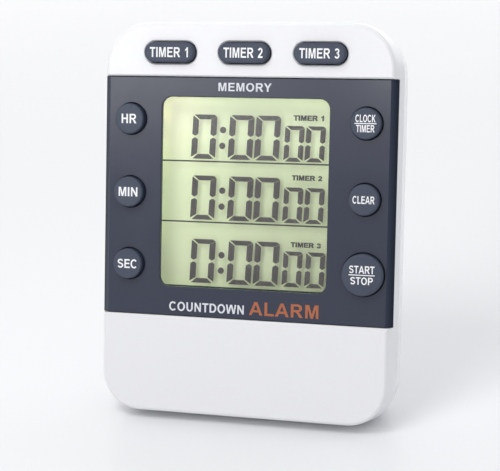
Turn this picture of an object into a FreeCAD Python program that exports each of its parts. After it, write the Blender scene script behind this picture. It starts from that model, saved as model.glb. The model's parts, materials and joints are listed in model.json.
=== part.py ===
"""Three-channel laboratory countdown timer, standing on its fold-out stand.

The parts are drawn in the case's own frame: X to the right, Y up the face, Z out of the face, with
Z = 0 on the dark face panel.  A last step leans the case back by LEAN and puts the origin at the
middle of the footprint, so that in the final frame +Z is up, the face looks towards -Y and the
bench is at Z = 0.  Millimetres throughout.

Rectangles are (left, right, bottom, top).  A solid's Z range runs from its back to its front.
Cutting tools run past the faces they open, and added ribs and pads sink a little into their wall.
"""
import FreeCAD, Part
import math
import os

Vector = FreeCAD.Vector

# ---------------------------------------------------------------- driving dimensions
LEAN = 14.0                 # degrees the face leans back from upright

# Case outline and shells
CASE_X = 33.0               # half width
CASE_TOP, CASE_BOTTOM = 37.6, -47.1
TOP_R, BOTTOM_R = 11.2, 9.5             # corner radii in plan
FRONT_IN_X, FRONT_IN_TOP, FRONT_IN_BOTTOM = 1.2, 0.3, 0.2   # front shell's taper to its face
FACE_TOP_R, FACE_BOTTOM_R = 9.4, 8.6    # corner radii of the front face
Z_FRONT = 0.6               # front face, a little proud of the dark panel
Z_PART = -4.2               # parting line of the two shells
Z_BACK = -16.25             # back face
FRONT_FILLET = 0.8
BACK_FILLET = 6.0
DRAFT = 1.15                # the rear shell narrows this much on every side towards the back
HEEL_FLAT = 0.2             # depth of the flat on the rounded back edge, where it meets the bench
WALL = 2.0
REAR_INSET = 0.12           # rear shell's step in from the front shell at the parting line
REAR_FRONT = Z_PART - 0.06  # front edge of the rear shell
REAR_CAVITY_INSET = 1.9
BACK_WALL = 1.8
REAR_INNER = Z_BACK + BACK_WALL         # inside of the back wall
SEAT_BACK = REAR_INNER - 0.2            # pads inside the back wall start here

# Face panel, the band that takes it, and the display window
BAND_Y = 25.85              # half height
BAND_LIP = 0.3              # bevel along the band's edges
FLOOR_Z, FLOOR_FRONT = -2.6, -1.2       # floors inside the front shell
BAND_FLOOR = (-31.0, 31.0, -27.6, 27.6)
TIMER_FLOOR = (-25.2, 25.2, 26.2, 35.0)
PANEL_X, PANEL_FACE_X, PANEL_Y = 32.5, 31.05, 25.75         # half sizes
PANEL_T = 1.55
PANEL_BEVEL_Z = -1.35
PANEL_THROUGH = (-3, 1)     # Z range of cuts right through the panel
WINDOW = (-19.1, 18.15, -19.45, 21.5)
WINDOW_R = 2.2

# Keys
BAR_W, BAR_H = 11.25, 4.3               # head of a bar key
CORE_W, CORE_H = 8.6, 3.0               # rubber core under a bar key
HEAD_R = {"round": 3.3, "start": 4.45}
CORE_R = {"round": 1.9, "start": 2.5}
FLANGE_GROW = {"bar": 0.75, "round": 0.8, "start": 0.55}    # flange beyond the head, every side
KEY_GAP = 0.15
SHELL_KEY_GAP = KEY_GAP + 0.05
FLANGE_BACK, FLANGE_FRONT = -3.6, -2.65
CORE_BACK, PILL_BACK = -5.3, -5.6
TIMER_X, TIMER_Y, TIMER_PITCH = -0.55, 30.9, 16.6
COLUMN_X = 26.15
ROW_TOP, ROW_MIDDLE, ROW_BOTTOM = 16.6, 0.8, -14.85
# name: (x, y, kind, top of the cap)
KEYS = {
    "timer_1": (TIMER_X - TIMER_PITCH, TIMER_Y, "bar", 1.75),
    "timer_2": (TIMER_X, TIMER_Y, "bar", 1.75),
    "timer_3": (TIMER_X + TIMER_PITCH, TIMER_Y, "bar", 1.75),
    "hour": (-COLUMN_X, ROW_TOP, "round", 1.45),
    "minute": (-COLUMN_X, ROW_MIDDLE, "round", 1.45),
    "second": (-COLUMN_X, ROW_BOTTOM, "round", 1.45),
    "clock_timer": (COLUMN_X, ROW_TOP, "round", 1.45),
    "clear": (COLUMN_X, ROW_MIDDLE, "round", 1.45),
    "start_stop": (COLUMN_X, ROW_BOTTOM, "start", 1.4),
}

# Circuit board
BOARD_BACK, BOARD_FRONT = -8.2, -6.6
BOARD = (-30.3, 30.3, -25.6, 34.8)

# Display stack
LCD_LEFT, LCD_RIGHT = -21.4, 20.2
LCD_Y = LCD_BOTTOM, LCD_TOP = -22.0, 23.9
LCD_REAR_Y = (-20.0, 21.9)
FRONT_GLASS_FRONT, FRONT_GLASS_BACK = -2.85, -3.95
REAR_GLASS_BACK, REFLECTOR_BACK = -5.05, -5.3
# name: (bottom and top, inset at the sides, inset at bottom and top, back, front)
LCD_SHEETS = {
    "lcd_front_polarizer": (LCD_Y, 0.5, 1.3, FRONT_GLASS_FRONT, -2.65),
    "lcd_front_glass": (LCD_Y, 0, 0, FRONT_GLASS_BACK, FRONT_GLASS_FRONT),
    "lcd_rear_glass": (LCD_REAR_Y, 0, 0, REAR_GLASS_BACK, FRONT_GLASS_BACK),
    "lcd_reflector": (LCD_REAR_Y, 0.5, 0.4, REFLECTOR_BACK, REAR_GLASS_BACK),
    "lcd_foam_pad": (LCD_REAR_Y, 2.5, 2, BOARD_FRONT, REFLECTOR_BACK),
    "zebra_strip_top": ((22.15, 23.7), 1.0, 0, BOARD_FRONT, FRONT_GLASS_BACK),
    "zebra_strip_bottom": ((-21.8, -20.25), 1.0, 0, BOARD_FRONT, FRONT_GLASS_BACK),
}

# Screws, as (x, y)
CASE_SCREWS = [(-24.6, 25.8), (24.6, 25.8), (-24.6, -22.6), (24.6, -22.6)]
SIDE_BOARD_SCREWS = [(-25.0, 8.5), (25.0, 8.5), (-25.0, -6.9), (25.0, -6.9)]
BOARD_SCREWS = SIDE_BOARD_SCREWS + [(-12.0, -23.95), (12.0, -23.95)]
BOSS_END = -8.8             # back end of the case screw bosses
CASE_SCREW_SEAT = -13.0
CASE_SCREW_SIZE = dict(seat=CASE_SCREW_SEAT, head_r=2.0, head_h=1.4,
                       shank_r=0.86, shank_length=8.0, slot=0.28)
BOARD_SCREW_SIZE = dict(seat=BOARD_BACK, head_r=1.6, head_h=1.0,
                        shank_r=0.68, shank_length=4.4, slot=0.22)

# Stand
STAND_Y, STAND_Z = -18.0, -14.6         # hinge axis
STAND_X = 13.7              # half width of the plate
STAND_LENGTH = 31.0         # axis to the middle of the rounded foot
STAND_IN, STAND_OUT = -0.65, 1.55       # plate faces from the axis, along the outward normal
STAND_FOOT_R = 1.1
STAND_PIN_R, STAND_PIN_X = 1.2, 15.5
STAND_BORE_R = 1.25
STAND_POCKET_X = STAND_X + 0.3

# Battery door and bay
DOOR_Y, DOOR_Z = -38.9, -15.0           # hinge axis
DOOR_X, DOOR_TOP = 25.75, -27.55
DOOR_BACK, DOOR_FRONT = -16.2, -14.6
DOOR_PIN_R, DOOR_PIN_X = 0.8, 26.9
DOOR_BORE_R = 0.85
BAY = BAY_LEFT, BAY_RIGHT, BAY_BOTTOM, BAY_TOP = -25.9, 25.9, -39.9, -28.3
BAY_FRONT = -3.8

# Cell and its contacts
CELL_R, CELL_Y, CELL_Z = 5.25, -34.1, -9.2
CELL_LEFT, CELL_RIGHT = -20.2, 24.3
PLATE_T, PLATE_HALF_Y, PLATE_HALF_Z = 0.35, 4.6, 4.4
MINUS_PLATE_X, PLUS_PLATE_X = -25.75, 24.95                 # left faces of the plates

# Magnets and sounder
MAGNETS = [(-16.5, 22.5), (16.5, 22.5)]
MAGNET_R, MAGNET_BACK, MAGNET_FRONT = 6.0, -16.35, -14.15
BUZZER_X, BUZZER_Y, BUZZER_R = 0.0, 24.6, 7.5
BUZZER_BACK, BUZZER_MIDDLE, BUZZER_FRONT = -13.45, -13.2, -12.95
BUZZER_CERAMIC_R = 5.0


# ---------------------------------------------------------------- outlines and solids
def line(start, end):
    return Part.LineSegment(start, end).toShape()


def arc(start, middle, end):
    return Part.Arc(start, middle, end).toShape()


def rounded_wire(left, right, bottom, top, top_r, bottom_r, z):
    """Closed rectangle with rounded corners, drawn anticlockwise from its bottom edge."""
    to_bottom, to_right = Vector(0, -1, 0), Vector(1, 0, 0)
    to_top, to_left = Vector(0, 1, 0), Vector(-1, 0, 0)
    # arc centre x, y, radius, directions from the centre to the arc's start and end
    corners = [
        (right - bottom_r, bottom + bottom_r, bottom_r, to_bottom, to_right),
        (right - top_r, top - top_r, top_r, to_right, to_top),
        (left + top_r, top - top_r, top_r, to_top, to_left),
        (left + bottom_r, bottom + bottom_r, bottom_r, to_left, to_bottom),
    ]
    edges = []
    corner = Vector(left + bottom_r, bottom, z)
    for x, y, radius, first, last in corners:
        centre = Vector(x, y, z)
        start, end = centre + first * radius, centre + last * radius
        middle = centre + (first + last) * (radius * math.sqrt(0.5))
        edges += [line(corner, start), arc(start, middle, end)]
        corner = end
    return Part.Wire(edges)


def bar_wire(x, y, width, height, z):
    """Round-ended slot outline, long in X."""
    radius = height / 2
    left, right = x - width / 2 + radius, x + width / 2 - radius
    return Part.Wire([
        line(Vector(left, y - radius, z), Vector(right, y - radius, z)),
        arc(Vector(right, y - radius, z), Vector(right + radius, y, z),
            Vector(right, y + radius, z)),
        line(Vector(right, y + radius, z), Vector(left, y + radius, z)),
        arc(Vector(left, y + radius, z), Vector(left - radius, y, z),
            Vector(left, y - radius, z)),
    ])


def circle_wire(centre, radius, axis=Vector(0, 0, 1)):
    return Part.Wire([Part.Circle(centre, axis, radius).toShape()])


def case_wire(inset, z):
    return rounded_wire(-CASE_X + inset, CASE_X - inset, CASE_BOTTOM + inset, CASE_TOP - inset,
                        TOP_R - inset, BOTTOM_R - inset, z)


def grown(rect, grow):
    left, right, bottom, top = rect
    return left - grow, right + grow, bottom - grow, top + grow


def extruded(wire, length):
    return Part.Face(wire).extrude(Vector(0, 0, length))


def slab(left, right, bottom, top, top_r, bottom_r, back, front):
    return extruded(rounded_wire(left, right, bottom, top, top_r, bottom_r, back), front - back)


def case_slab(inset, back, front):
    return extruded(case_wire(inset, back), front - back)


def bar(x, y, width, height, back, front):
    return extruded(bar_wire(x, y, width, height, back), front - back)


def box(left, right, bottom, top, back, front):
    return Part.makeBox(right - left, top - bottom, front - back, Vector(left, bottom, back))


def cyl(x, y, radius, back, front):
    return Part.makeCylinder(radius, front - back, Vector(x, y, back), Vector(0, 0, 1))


def cyl_x(y, z, radius, left, right):
    return Part.makeCylinder(radius, right - left, Vector(left, y, z), Vector(1, 0, 0))


def loft(back_wire, front_wire):
    return Part.makeLoft([back_wire, front_wire], True, True)


def polygon_prism(points, sweep):
    return Part.Face(Part.makePolygon(points + [points[0]])).extrude(sweep)


def prism_yz(points, left, right):
    return polygon_prism([Vector(left, y, z) for y, z in points], Vector(right - left, 0, 0))


def fuse(first, *rest):
    joined = first
    for part in rest:
        joined = joined.fuse(part)
    return joined.removeSplitter()


def edges_at(shape, axis, place):
    """Edges that lie wholly in the plane axis = place."""
    return [edge for edge in shape.Edges
            if abs(getattr(edge.BoundBox, axis + "Min") - place) < 1e-5
            and abs(getattr(edge.BoundBox, axis + "Max") - place) < 1e-5]


def key_wire(key, grow, z):
    """Outline of a key's head, widened by grow on every side."""
    x, y, kind, _ = KEYS[key]
    if kind == "bar":
        return bar_wire(x, y, BAR_W + 2 * grow, BAR_H + 2 * grow, z)
    return circle_wire(Vector(x, y, z), HEAD_R[kind] + grow)


def key_prism(key, grow, back, front):
    x, y, kind, _ = KEYS[key]
    if kind == "bar":
        return bar(x, y, BAR_W + 2 * grow, BAR_H + 2 * grow, back, front)
    return cyl(x, y, HEAD_R[kind] + grow, back, front)


def key_bevel(key, grow, back, front, flare):
    """Flared mouth of a key hole."""
    return loft(key_wire(key, grow, back), key_wire(key, grow + flare, front))


def lead(points, radius):
    """An insulated lead bent through the given points."""
    curve = Part.BSplineCurve()
    curve.interpolate(Points=[Vector(*point) for point in points],
                      InitialTangent=Vector(*points[1]) - Vector(*points[0]),
                      FinalTangent=Vector(0, 0, 2.5))
    return swept_wire(curve, radius, False)


def swept_wire(curve, radius, frenet):
    """Round section carried along a curve."""
    path = Part.Wire([curve.toShape()])
    first = curve.FirstParameter
    ring = circle_wire(curve.value(first), radius, curve.tangent(first)[0])
    return path.makePipeShell([ring], True, frenet)


# ---------------------------------------------------------------- stance
LEAN_RAD = math.radians(LEAN)


def height(y, z):
    """Height of a case-frame point above an arbitrary level once the case leans back."""
    return y * math.cos(LEAN_RAD) + z * math.sin(LEAN_RAD)


def depth(y, z):
    """Distance of a case-frame point towards the rear once the case leans back."""
    return y * math.sin(LEAN_RAD) - z * math.cos(LEAN_RAD)


# Middle of the rounding along the lower back edge, allowing for the draft of the bottom side.
REAR_SPAN = REAR_FRONT - Z_BACK
REAR_TAPER = math.atan2(DRAFT, REAR_SPAN)
HEEL_Y = (CASE_BOTTOM + REAR_INSET + DRAFT * (1 - BACK_FILLET / REAR_SPAN)
          + BACK_FILLET / math.cos(REAR_TAPER))
HEEL_Z = Z_BACK + BACK_FILLET
BENCH = height(HEEL_Y, HEEL_Z) - BACK_FILLET + HEEL_FLAT


def stand_point(angle, along, out):
    """Point of the stand at a plate angle: along the plate and out along its normal."""
    return (STAND_Y + along * math.cos(angle) + out * math.sin(angle),
            STAND_Z + along * math.sin(angle) - out * math.cos(angle))


def stand_foot(angle):
    return stand_point(angle, STAND_LENGTH, (STAND_IN + STAND_OUT) / 2)


def solve_stand():
    """Plate angle (radians in the case's Y-Z plane) at which the foot reaches the bench."""
    low, high = math.radians(-170), math.radians(-95)
    for _ in range(80):
        middle = (low + high) / 2
        if height(*stand_foot(middle)) - STAND_FOOT_R < BENCH:
            low = middle
        else:
            high = middle
    return (low + high) / 2


STAND_ANGLE = solve_stand()

# The face is farthest forward at its lower rounded edge, and the stand's foot is farthest back.
FRONT_MOST = depth(CASE_BOTTOM + FRONT_IN_BOTTOM + FRONT_FILLET,
                   Z_FRONT - FRONT_FILLET) - FRONT_FILLET
REAR_MOST = depth(*stand_foot(STAND_ANGLE)) + STAND_FOOT_R
FINAL_SHIFT = Vector(0, -(FRONT_MOST + REAR_MOST) / 2, -BENCH)


# ---------------------------------------------------------------- front shell
def front_body():
    """Hollow shell with its floors and the tongue that enters the rear shell."""
    face = rounded_wire(-CASE_X + FRONT_IN_X, CASE_X - FRONT_IN_X,
                        CASE_BOTTOM + FRONT_IN_BOTTOM, CASE_TOP - FRONT_IN_TOP,
                        FACE_TOP_R, FACE_BOTTOM_R, Z_FRONT)
    shell = loft(case_wire(0, Z_PART), face)
    shell = shell.makeFillet(FRONT_FILLET, edges_at(shell, "Z", Z_FRONT))
    shell = shell.cut(case_slab(WALL, Z_PART - 1, Z_FRONT - WALL))
    shell = shell.fuse(box(*BAND_FLOOR, FLOOR_Z, FLOOR_FRONT))
    shell = shell.fuse(slab(*TIMER_FLOOR, 3.0, 0.5, FLOOR_Z, FLOOR_FRONT))
    tongue = case_slab(1.15, Z_PART - 1.2, Z_PART + 0.5)
    return shell.fuse(tongue.cut(case_slab(WALL, Z_PART - 2, Z_PART + 1)))


def cut_panel_band(shell):
    outer = BAND_Y + BAND_LIP
    upper = [(BAND_Y, -PANEL_T), (BAND_Y, Z_FRONT - BAND_LIP), (outer, Z_FRONT), (outer, 2)]
    lower = [(-y, z) for y, z in reversed(upper)]
    profile = [lower[-1]] + upper + lower[:-1]
    return shell.cut(prism_yz(profile, -40, 40))


def add_glass_ribs(shell):
    """Locating ribs round the glass."""
    near, far = 0.2, 0.9        # rib faces from the edge of the glass
    front = FLOOR_Z + 0.2
    shell = shell.fuse(box(-20, 19, LCD_TOP + near, LCD_TOP + far, -6.2, front))
    shell = shell.fuse(box(-20, 19, LCD_BOTTOM - far, LCD_BOTTOM - near, -6.2, front))
    for y in (6.4, -9.0):
        shell = shell.fuse(box(LCD_LEFT - far, LCD_LEFT - near, y, y + 4, -5.4, front))
        shell = shell.fuse(box(LCD_RIGHT + near, LCD_RIGHT + far, y, y + 4, -5.4, front))
    return shell


def add_front_bosses(shell):
    for x, y in CASE_SCREWS:
        shell = shell.fuse(cyl(x, y, 2.5, BOSS_END, -1.6))
        shell = shell.cut(cyl(x, y, 0.9, BOSS_END - 1, -4.2))
    for x, y in BOARD_SCREWS:
        shell = shell.fuse(cyl(x, y, 1.7, BOARD_FRONT, FLOOR_Z + 0.2))
        shell = shell.cut(cyl(x, y, 0.72, BOARD_FRONT - 1, -3.4))
    # snap ribs that catch the rear shell along the bottom edge
    inside = CASE_BOTTOM + WALL
    for x in (-14, 14):
        shell = shell.fuse(box(x - 3, x + 3, inside, inside + 1.0, Z_PART - 1.2, -1.6))
    return shell


def make_front_shell():
    shell = cut_panel_band(front_body())
    shell = add_front_bosses(add_glass_ribs(shell))
    shell = shell.cut(slab(*grown(WINDOW, 0.7), 2.4, 2.4, -4, 1))
    for key in KEYS:
        shell = shell.cut(key_prism(key, SHELL_KEY_GAP, -4, 2))
    # room for the start key's flange
    shell = shell.cut(key_prism("start_stop", FLANGE_GROW["start"] + 0.15, -4.8, FLOOR_Z))
    for key in ("timer_1", "timer_2", "timer_3"):
        shell = shell.cut(key_bevel(key, SHELL_KEY_GAP, Z_FRONT - 0.3, Z_FRONT + 0.02, 0.3))
    return shell.removeSplitter()


# ---------------------------------------------------------------- rear shell
def drafted_block(front_inset, back, front, back_inset, fillet):
    """Case outline tapering towards the back, with a rounded back edge."""
    block = loft(case_wire(back_inset, back), case_wire(front_inset, front))
    return block.makeFillet(fillet, edges_at(block, "Z", back))


def rear_body():
    """Hollow shell with a rebate for the front shell's tongue."""
    shell = drafted_block(REAR_INSET, Z_BACK, REAR_FRONT, REAR_INSET + DRAFT, BACK_FILLET)
    cavity = drafted_block(REAR_CAVITY_INSET, REAR_INNER, Z_PART + 1,
                           REAR_CAVITY_INSET + DRAFT, BACK_FILLET - BACK_WALL)
    return shell.cut(cavity).cut(case_slab(1.05, Z_PART - 1.3, Z_PART + 1))


def add_rear_seats(shell):
    """Solid backing behind each pocket, trimmed to the outside of the shell."""
    # stand recess, hinge trough and finger scoop
    shell = shell.fuse(box(-15.0, 15.0, -20.0, 15.8, SEAT_BACK, -12.3))
    shell = shell.fuse(box(-17.0, 17.0, -21.6, -15.4, SEAT_BACK, -11.7))
    shell = shell.fuse(box(-5.5, 5.5, 14.0, 19.8, SEAT_BACK, -13.5))
    # battery tub
    shell = shell.fuse(slab(BAY_LEFT - 1.2, BAY_RIGHT + 1.2, BAY_BOTTOM - 1.0, BAY_TOP + 1.4,
                            1.2, 1.2, SEAT_BACK, BAY_FRONT + 1.0))
    for x, y in MAGNETS:
        shell = shell.fuse(cyl(x, y, MAGNET_R + 1.2, SEAT_BACK, -12.9))
    shell = shell.fuse(cyl(BUZZER_X, BUZZER_Y, BUZZER_R + 1.1, SEAT_BACK, -12.5))
    for x, y in CASE_SCREWS:
        shell = shell.fuse(cyl(x, y, 3.0, SEAT_BACK, BOSS_END - 0.1))
    # the outer surface carried forward at the same draft
    front = Z_PART + 6
    front_inset = REAR_INSET - DRAFT / REAR_SPAN * (front - REAR_FRONT)
    return shell.common(drafted_block(front_inset, Z_BACK, front,
                                      REAR_INSET + DRAFT, BACK_FILLET))


def cut_stand_pocket(shell):
    side = STAND_POCKET_X
    # wedge that clears the opened plate
    axis_y, axis_z = stand_point(STAND_ANGLE, 0.0, STAND_OUT + 0.05)
    plate_y, plate_z = stand_point(STAND_ANGLE, 6.0, STAND_OUT + 0.05)
    wedge = [(axis_y, axis_z), (plate_y, plate_z), (-10.0, plate_z), (-10.0, axis_z)]
    shell = shell.cut(prism_yz(wedge, -side, side))
    # recess for the folded plate
    shell = shell.cut(slab(-side, side, -17.5, 14.5, 2.0, 0.1, Z_BACK - 1, -13.5))
    # hinge trough and pin bore
    shell = shell.cut(cyl_x(STAND_Y, STAND_Z, STAND_OUT + 0.15, -side, side))
    bore_x = STAND_PIN_X + 0.15
    shell = shell.cut(cyl_x(STAND_Y, STAND_Z, STAND_BORE_R, -bore_x, bore_x))
    # finger scoop
    return shell.cut(cyl(0, 14.3, 4.2, Z_BACK - 1, -14.7))


def cut_round_pockets(shell):
    """Magnet pockets, sounder seat with its sound holes, and case screw holes."""
    pocket_r = MAGNET_R + 0.05
    for x, y in MAGNETS:
        shell = shell.cut(cyl(x, y, pocket_r, Z_BACK - 1, -14.1))
        shell = shell.cut(loft(circle_wire(Vector(x, y, Z_BACK + 0.25), pocket_r),
                               circle_wire(Vector(x, y, Z_BACK - 0.02), MAGNET_R + 0.32)))
    shell = shell.cut(cyl(BUZZER_X, BUZZER_Y, BUZZER_R + 0.05, BUZZER_BACK, -10))
    shell = shell.cut(cyl(BUZZER_X, BUZZER_Y, BUZZER_R - 0.8, REAR_INNER, -10))
    # six sound holes in a ring, and one in the middle
    for i in range(7):
        angle = math.radians(60 * i)
        ring_r = 0 if i == 6 else 2.6
        shell = shell.cut(cyl(BUZZER_X + ring_r * math.cos(angle),
                              BUZZER_Y + ring_r * math.sin(angle), 0.65, Z_BACK - 1, -13.0))
    for x, y in CASE_SCREWS:
        shell = shell.cut(cyl(x, y, 2.3, Z_BACK - 1, CASE_SCREW_SEAT))
        shell = shell.cut(cyl(x, y, 1.15, -14, BOSS_END + 1))
    return shell


def cut_battery_bay(shell):
    shell = shell.cut(box(*BAY, Z_BACK - 1, BAY_FRONT))
    # door opening, then the door's hinge trough and pin bores
    shell = shell.cut(box(BAY_LEFT, BAY_RIGHT, BAY_BOTTOM, DOOR_TOP + 0.15, Z_BACK - 1, -14.5))
    trough_r = 1.35
    shell = shell.cut(cyl_x(DOOR_Y, DOOR_Z, trough_r, BAY_LEFT, BAY_RIGHT))
    shell = shell.cut(box(BAY_LEFT, BAY_RIGHT, DOOR_Y - trough_r, DOOR_Y, Z_BACK - 1, DOOR_Z))
    bore_x = DOOR_PIN_X + 0.1
    shell = shell.cut(cyl_x(DOOR_Y, DOOR_Z, DOOR_BORE_R, -bore_x, bore_x))
    # latch notch and lead slots in the tub's upper wall
    shell = shell.cut(box(-4.4, 4.4, BAY_TOP - 0.1, BAY_TOP + 0.85, -14.6, -11.8))
    slot_w = 2.5
    for left in (BAY_LEFT, BAY_RIGHT - slot_w):
        shell = shell.cut(box(left, left + slot_w, BAY_TOP - 0.1, BAY_TOP + 1.5, -9.6, -7.4))
    # cradle ribs for the cell, at the front of the bay
    for x in (-12.0, 14.0):
        rib = box(x - 0.6, x + 0.6, BAY_BOTTOM - 0.2, BAY_TOP + 0.2,
                  BAY_FRONT - 3.2, BAY_FRONT + 0.1)
        shell = shell.fuse(rib.cut(cyl_x(CELL_Y, CELL_Z, CELL_R + 0.08, x - 1, x + 1)))
    return shell


def cut_heel_flat(shell):
    """Flat along the lower back edge, which the case stands on."""
    down_y, down_z = -math.cos(LEAN_RAD), -math.sin(LEAN_RAD)
    rear_y, rear_z = math.sin(LEAN_RAD), -math.cos(LEAN_RAD)
    top = BACK_FILLET - HEEL_FLAT
    corners = [(HEEL_Y + down_y * down + rear_y * rear, HEEL_Z + down_z * down + rear_z * rear)
               for rear, down in ((-8, top), (8, top), (8, top + 3), (-8, top + 3))]
    return shell.cut(prism_yz(corners, -40, 40))


def make_rear_shell():
    shell = add_rear_seats(rear_body())
    for cut_feature in (cut_stand_pocket, cut_round_pockets, cut_battery_bay, cut_heel_flat):
        shell = cut_feature(shell)
    return shell.removeSplitter()


# ---------------------------------------------------------------- face panel and display
def make_face_panel():
    half = [(PANEL_X, -PANEL_T), (PANEL_X, PANEL_BEVEL_Z), (PANEL_FACE_X, 0)]
    profile = [(-PANEL_X, -PANEL_T)] + half + [(-PANEL_FACE_X, 0), (-PANEL_X, PANEL_BEVEL_Z)]
    panel = polygon_prism([Vector(x, -PANEL_Y, z) for x, z in profile],
                          Vector(0, 2 * PANEL_Y, 0))
    # top and bottom edges of the face
    panel = panel.makeChamfer(0.18, [edge for edge in edges_at(panel, "Z", 0)
                                     if edge.BoundBox.YLength < 1e-6])
    # window opening, its bevelled mouth, and the rebate for the window's flange
    flare = 0.17
    panel = panel.cut(slab(*WINDOW, WINDOW_R, WINDOW_R, *PANEL_THROUGH))
    panel = panel.cut(loft(
        rounded_wire(*WINDOW, WINDOW_R, WINDOW_R, -0.15),
        rounded_wire(*grown(WINDOW, flare), WINDOW_R + flare, WINDOW_R + flare, 0.02)))
    panel = panel.cut(slab(*grown(WINDOW, 1.5), WINDOW_R + 1.0, WINDOW_R + 1.0, -3, -0.9))
    for key, (_, _, kind, _) in KEYS.items():
        if kind != "bar":
            panel = panel.cut(key_prism(key, KEY_GAP, *PANEL_THROUGH))
            panel = panel.cut(key_bevel(key, KEY_GAP, -0.14, 0.02, 0.16))
    return panel.removeSplitter()


def make_display_window():
    gap, front = 0.08, -0.22
    body = slab(*grown(WINDOW, -gap), WINDOW_R - gap, WINDOW_R - gap, -1.2, front)
    body = body.makeChamfer(0.12, edges_at(body, "Z", front))
    flange = slab(*grown(WINDOW, 1.4), WINDOW_R + 0.9, WINDOW_R + 0.9, -PANEL_T, -0.92)
    return fuse(body, flange)


def make_lcd_sheet(y_range, side_inset, end_inset, back, front):
    bottom, top = y_range
    return box(LCD_LEFT + side_inset, LCD_RIGHT - side_inset,
               bottom + end_inset, top - end_inset, back, front)


# ---------------------------------------------------------------- keys and keypad
# Rectangles of the rubber sheet: pads under the keys, then the strips that join them
MAT_PADS = [(-30.0, -22.45, -19.6, 21.2), (21.3, 30.2, -19.6, 21.2), (-24.2, 24.2, 27.1, 34.5)]
MAT_STRIPS = [(-22.8, -20.7, 18.6, 20.6), (-21.9, -20.7, 18.6, 28.0), (20.1, 21.6, 18.6, 28.0)]
MAT_T = 1.0


def make_key(key):
    _, _, kind, top = KEYS[key]
    head = key_prism(key, 0, FLANGE_FRONT - 0.2, top)
    head = head.makeFillet(0.4 if kind == "bar" else 0.35, edges_at(head, "Z", top))
    return fuse(head, key_prism(key, FLANGE_GROW[kind], FLANGE_BACK, FLANGE_FRONT))


def core_wire(key, grow, z):
    x, y, kind, _ = KEYS[key]
    if kind == "bar":
        return bar_wire(x, y, CORE_W + 2 * grow, CORE_H + 2 * grow, z)
    return circle_wire(Vector(x, y, z), CORE_R[kind] + grow)


def core(key, grow, back, front):
    return extruded(core_wire(key, grow, back), front - back)


def make_keypad_mat():
    back, front = BOARD_FRONT, BOARD_FRONT + MAT_T
    mat = slab(*MAT_PADS[0], 1.5, 1.5, back, front)
    for pad in MAT_PADS[1:]:
        mat = mat.fuse(slab(*pad, 1.5, 1.5, back, front))
    for strip in MAT_STRIPS:
        mat = mat.fuse(box(*strip, back, front))
    for places, radius in ((CASE_SCREWS, 3.3), (SIDE_BOARD_SCREWS, 2.0)):
        for x, y in places:
            mat = mat.cut(cyl(x, y, radius, back - 1, front + 1))
    for key in KEYS:
        mat = mat.cut(core(key, 1.2, back - 1, front + 1))
    # a thin sloping web carries each key's core
    web_back = front - 0.3
    for key in KEYS:
        web = loft(core_wire(key, 1.5, web_back), core_wire(key, 0.1, -4.7))
        web = web.cut(loft(core_wire(key, 1.15, front - 0.9), core_wire(key, -0.25, -5.1)))
        web = web.cut(core(key, 3.0, -9, web_back))
        mat = mat.fuse(web).fuse(core(key, 0, CORE_BACK, FLANGE_BACK))
    return mat.removeSplitter()


# ---------------------------------------------------------------- electronics
# Parts soldered flat to the board's back: (x, y, width, height, thickness)
SMALL_PARTS = [
    (-14, 12, 1.6, 0.8, 0.5), (-11, 12, 1.6, 0.8, 0.5), (-14, 9, 1.6, 0.8, 0.5),
    (10, 10, 2.0, 1.25, 0.8), (14, 10, 2.0, 1.25, 0.8),
    (-9, -9, 1.6, 0.8, 0.5), (-5, -9, 1.6, 0.8, 0.5), (17, 3, 2.9, 1.4, 1.1),
]


def make_main_board():
    board = slab(*BOARD, 9.3, 1.0, BOARD_BACK, BOARD_FRONT)
    for places, radius in ((CASE_SCREWS, 2.8), (BOARD_SCREWS, 0.95)):
        for x, y in places:
            board = board.cut(cyl(x, y, radius, BOARD_BACK - 1, BOARD_FRONT + 1))
    return board


def make_chip_blob():
    """Shallow cap of a sphere."""
    x, y, radius, rise = -2, 4, 5.2, 1.5
    sphere_r = (radius * radius + rise * rise) / (2 * rise)
    ball = Part.makeSphere(sphere_r, Vector(x, y, BOARD_BACK - rise + sphere_r))
    return ball.common(cyl(x, y, radius + 1, BOARD_BACK - 3, BOARD_BACK))


def make_crystal():
    """Can lying along X with two bent leads at its left end."""
    left, y, radius, length = 8.0, -6.0, 1.0, 6.0
    lead_z, lead_r = BOARD_BACK - 0.6, 0.15
    can = cyl_x(y, BOARD_BACK - radius, radius, left, left + length)
    can = can.makeFillet(0.25, edges_at(can, "X", left + length))
    for lead_y in (y - 0.45, y + 0.45):
        can = can.fuse(cyl_x(lead_y, lead_z, lead_r, left - 1.6, left))
        can = can.fuse(cyl(left - 1.5, lead_y, lead_r, lead_z, BOARD_BACK))
    return can


def make_small_parts():
    parts = []
    for x, y, width, height_y, thickness in SMALL_PARTS:
        back = BOARD_BACK - thickness
        part = box(x - width / 2, x + width / 2, y - height_y / 2, y + height_y / 2,
                   back, BOARD_BACK)
        parts.append(part.makeChamfer(0.08, edges_at(part, "Z", back)))
    return Part.makeCompound(parts)


def make_boost_coil():
    x, y, flange_r, core_r = -18.0, -12.0, 2.6, 1.9
    return fuse(cyl(x, y, flange_r, BOARD_BACK - 0.8, BOARD_BACK),
                cyl(x, y, core_r, BOARD_BACK - 3.4, BOARD_BACK - 0.8),
                cyl(x, y, flange_r, BOARD_BACK - 3.9, BOARD_BACK - 3.1))


def make_capacitor():
    back = BOARD_BACK - 3.8
    can = cyl(18.5, -13.0, 2.5, back, BOARD_BACK)
    return can.makeFillet(0.3, edges_at(can, "Z", back))


def make_magnet(x, y):
    disc = cyl(x, y, MAGNET_R, MAGNET_BACK, MAGNET_FRONT)
    return disc.makeChamfer(0.25, edges_at(disc, "Z", MAGNET_BACK))


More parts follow.
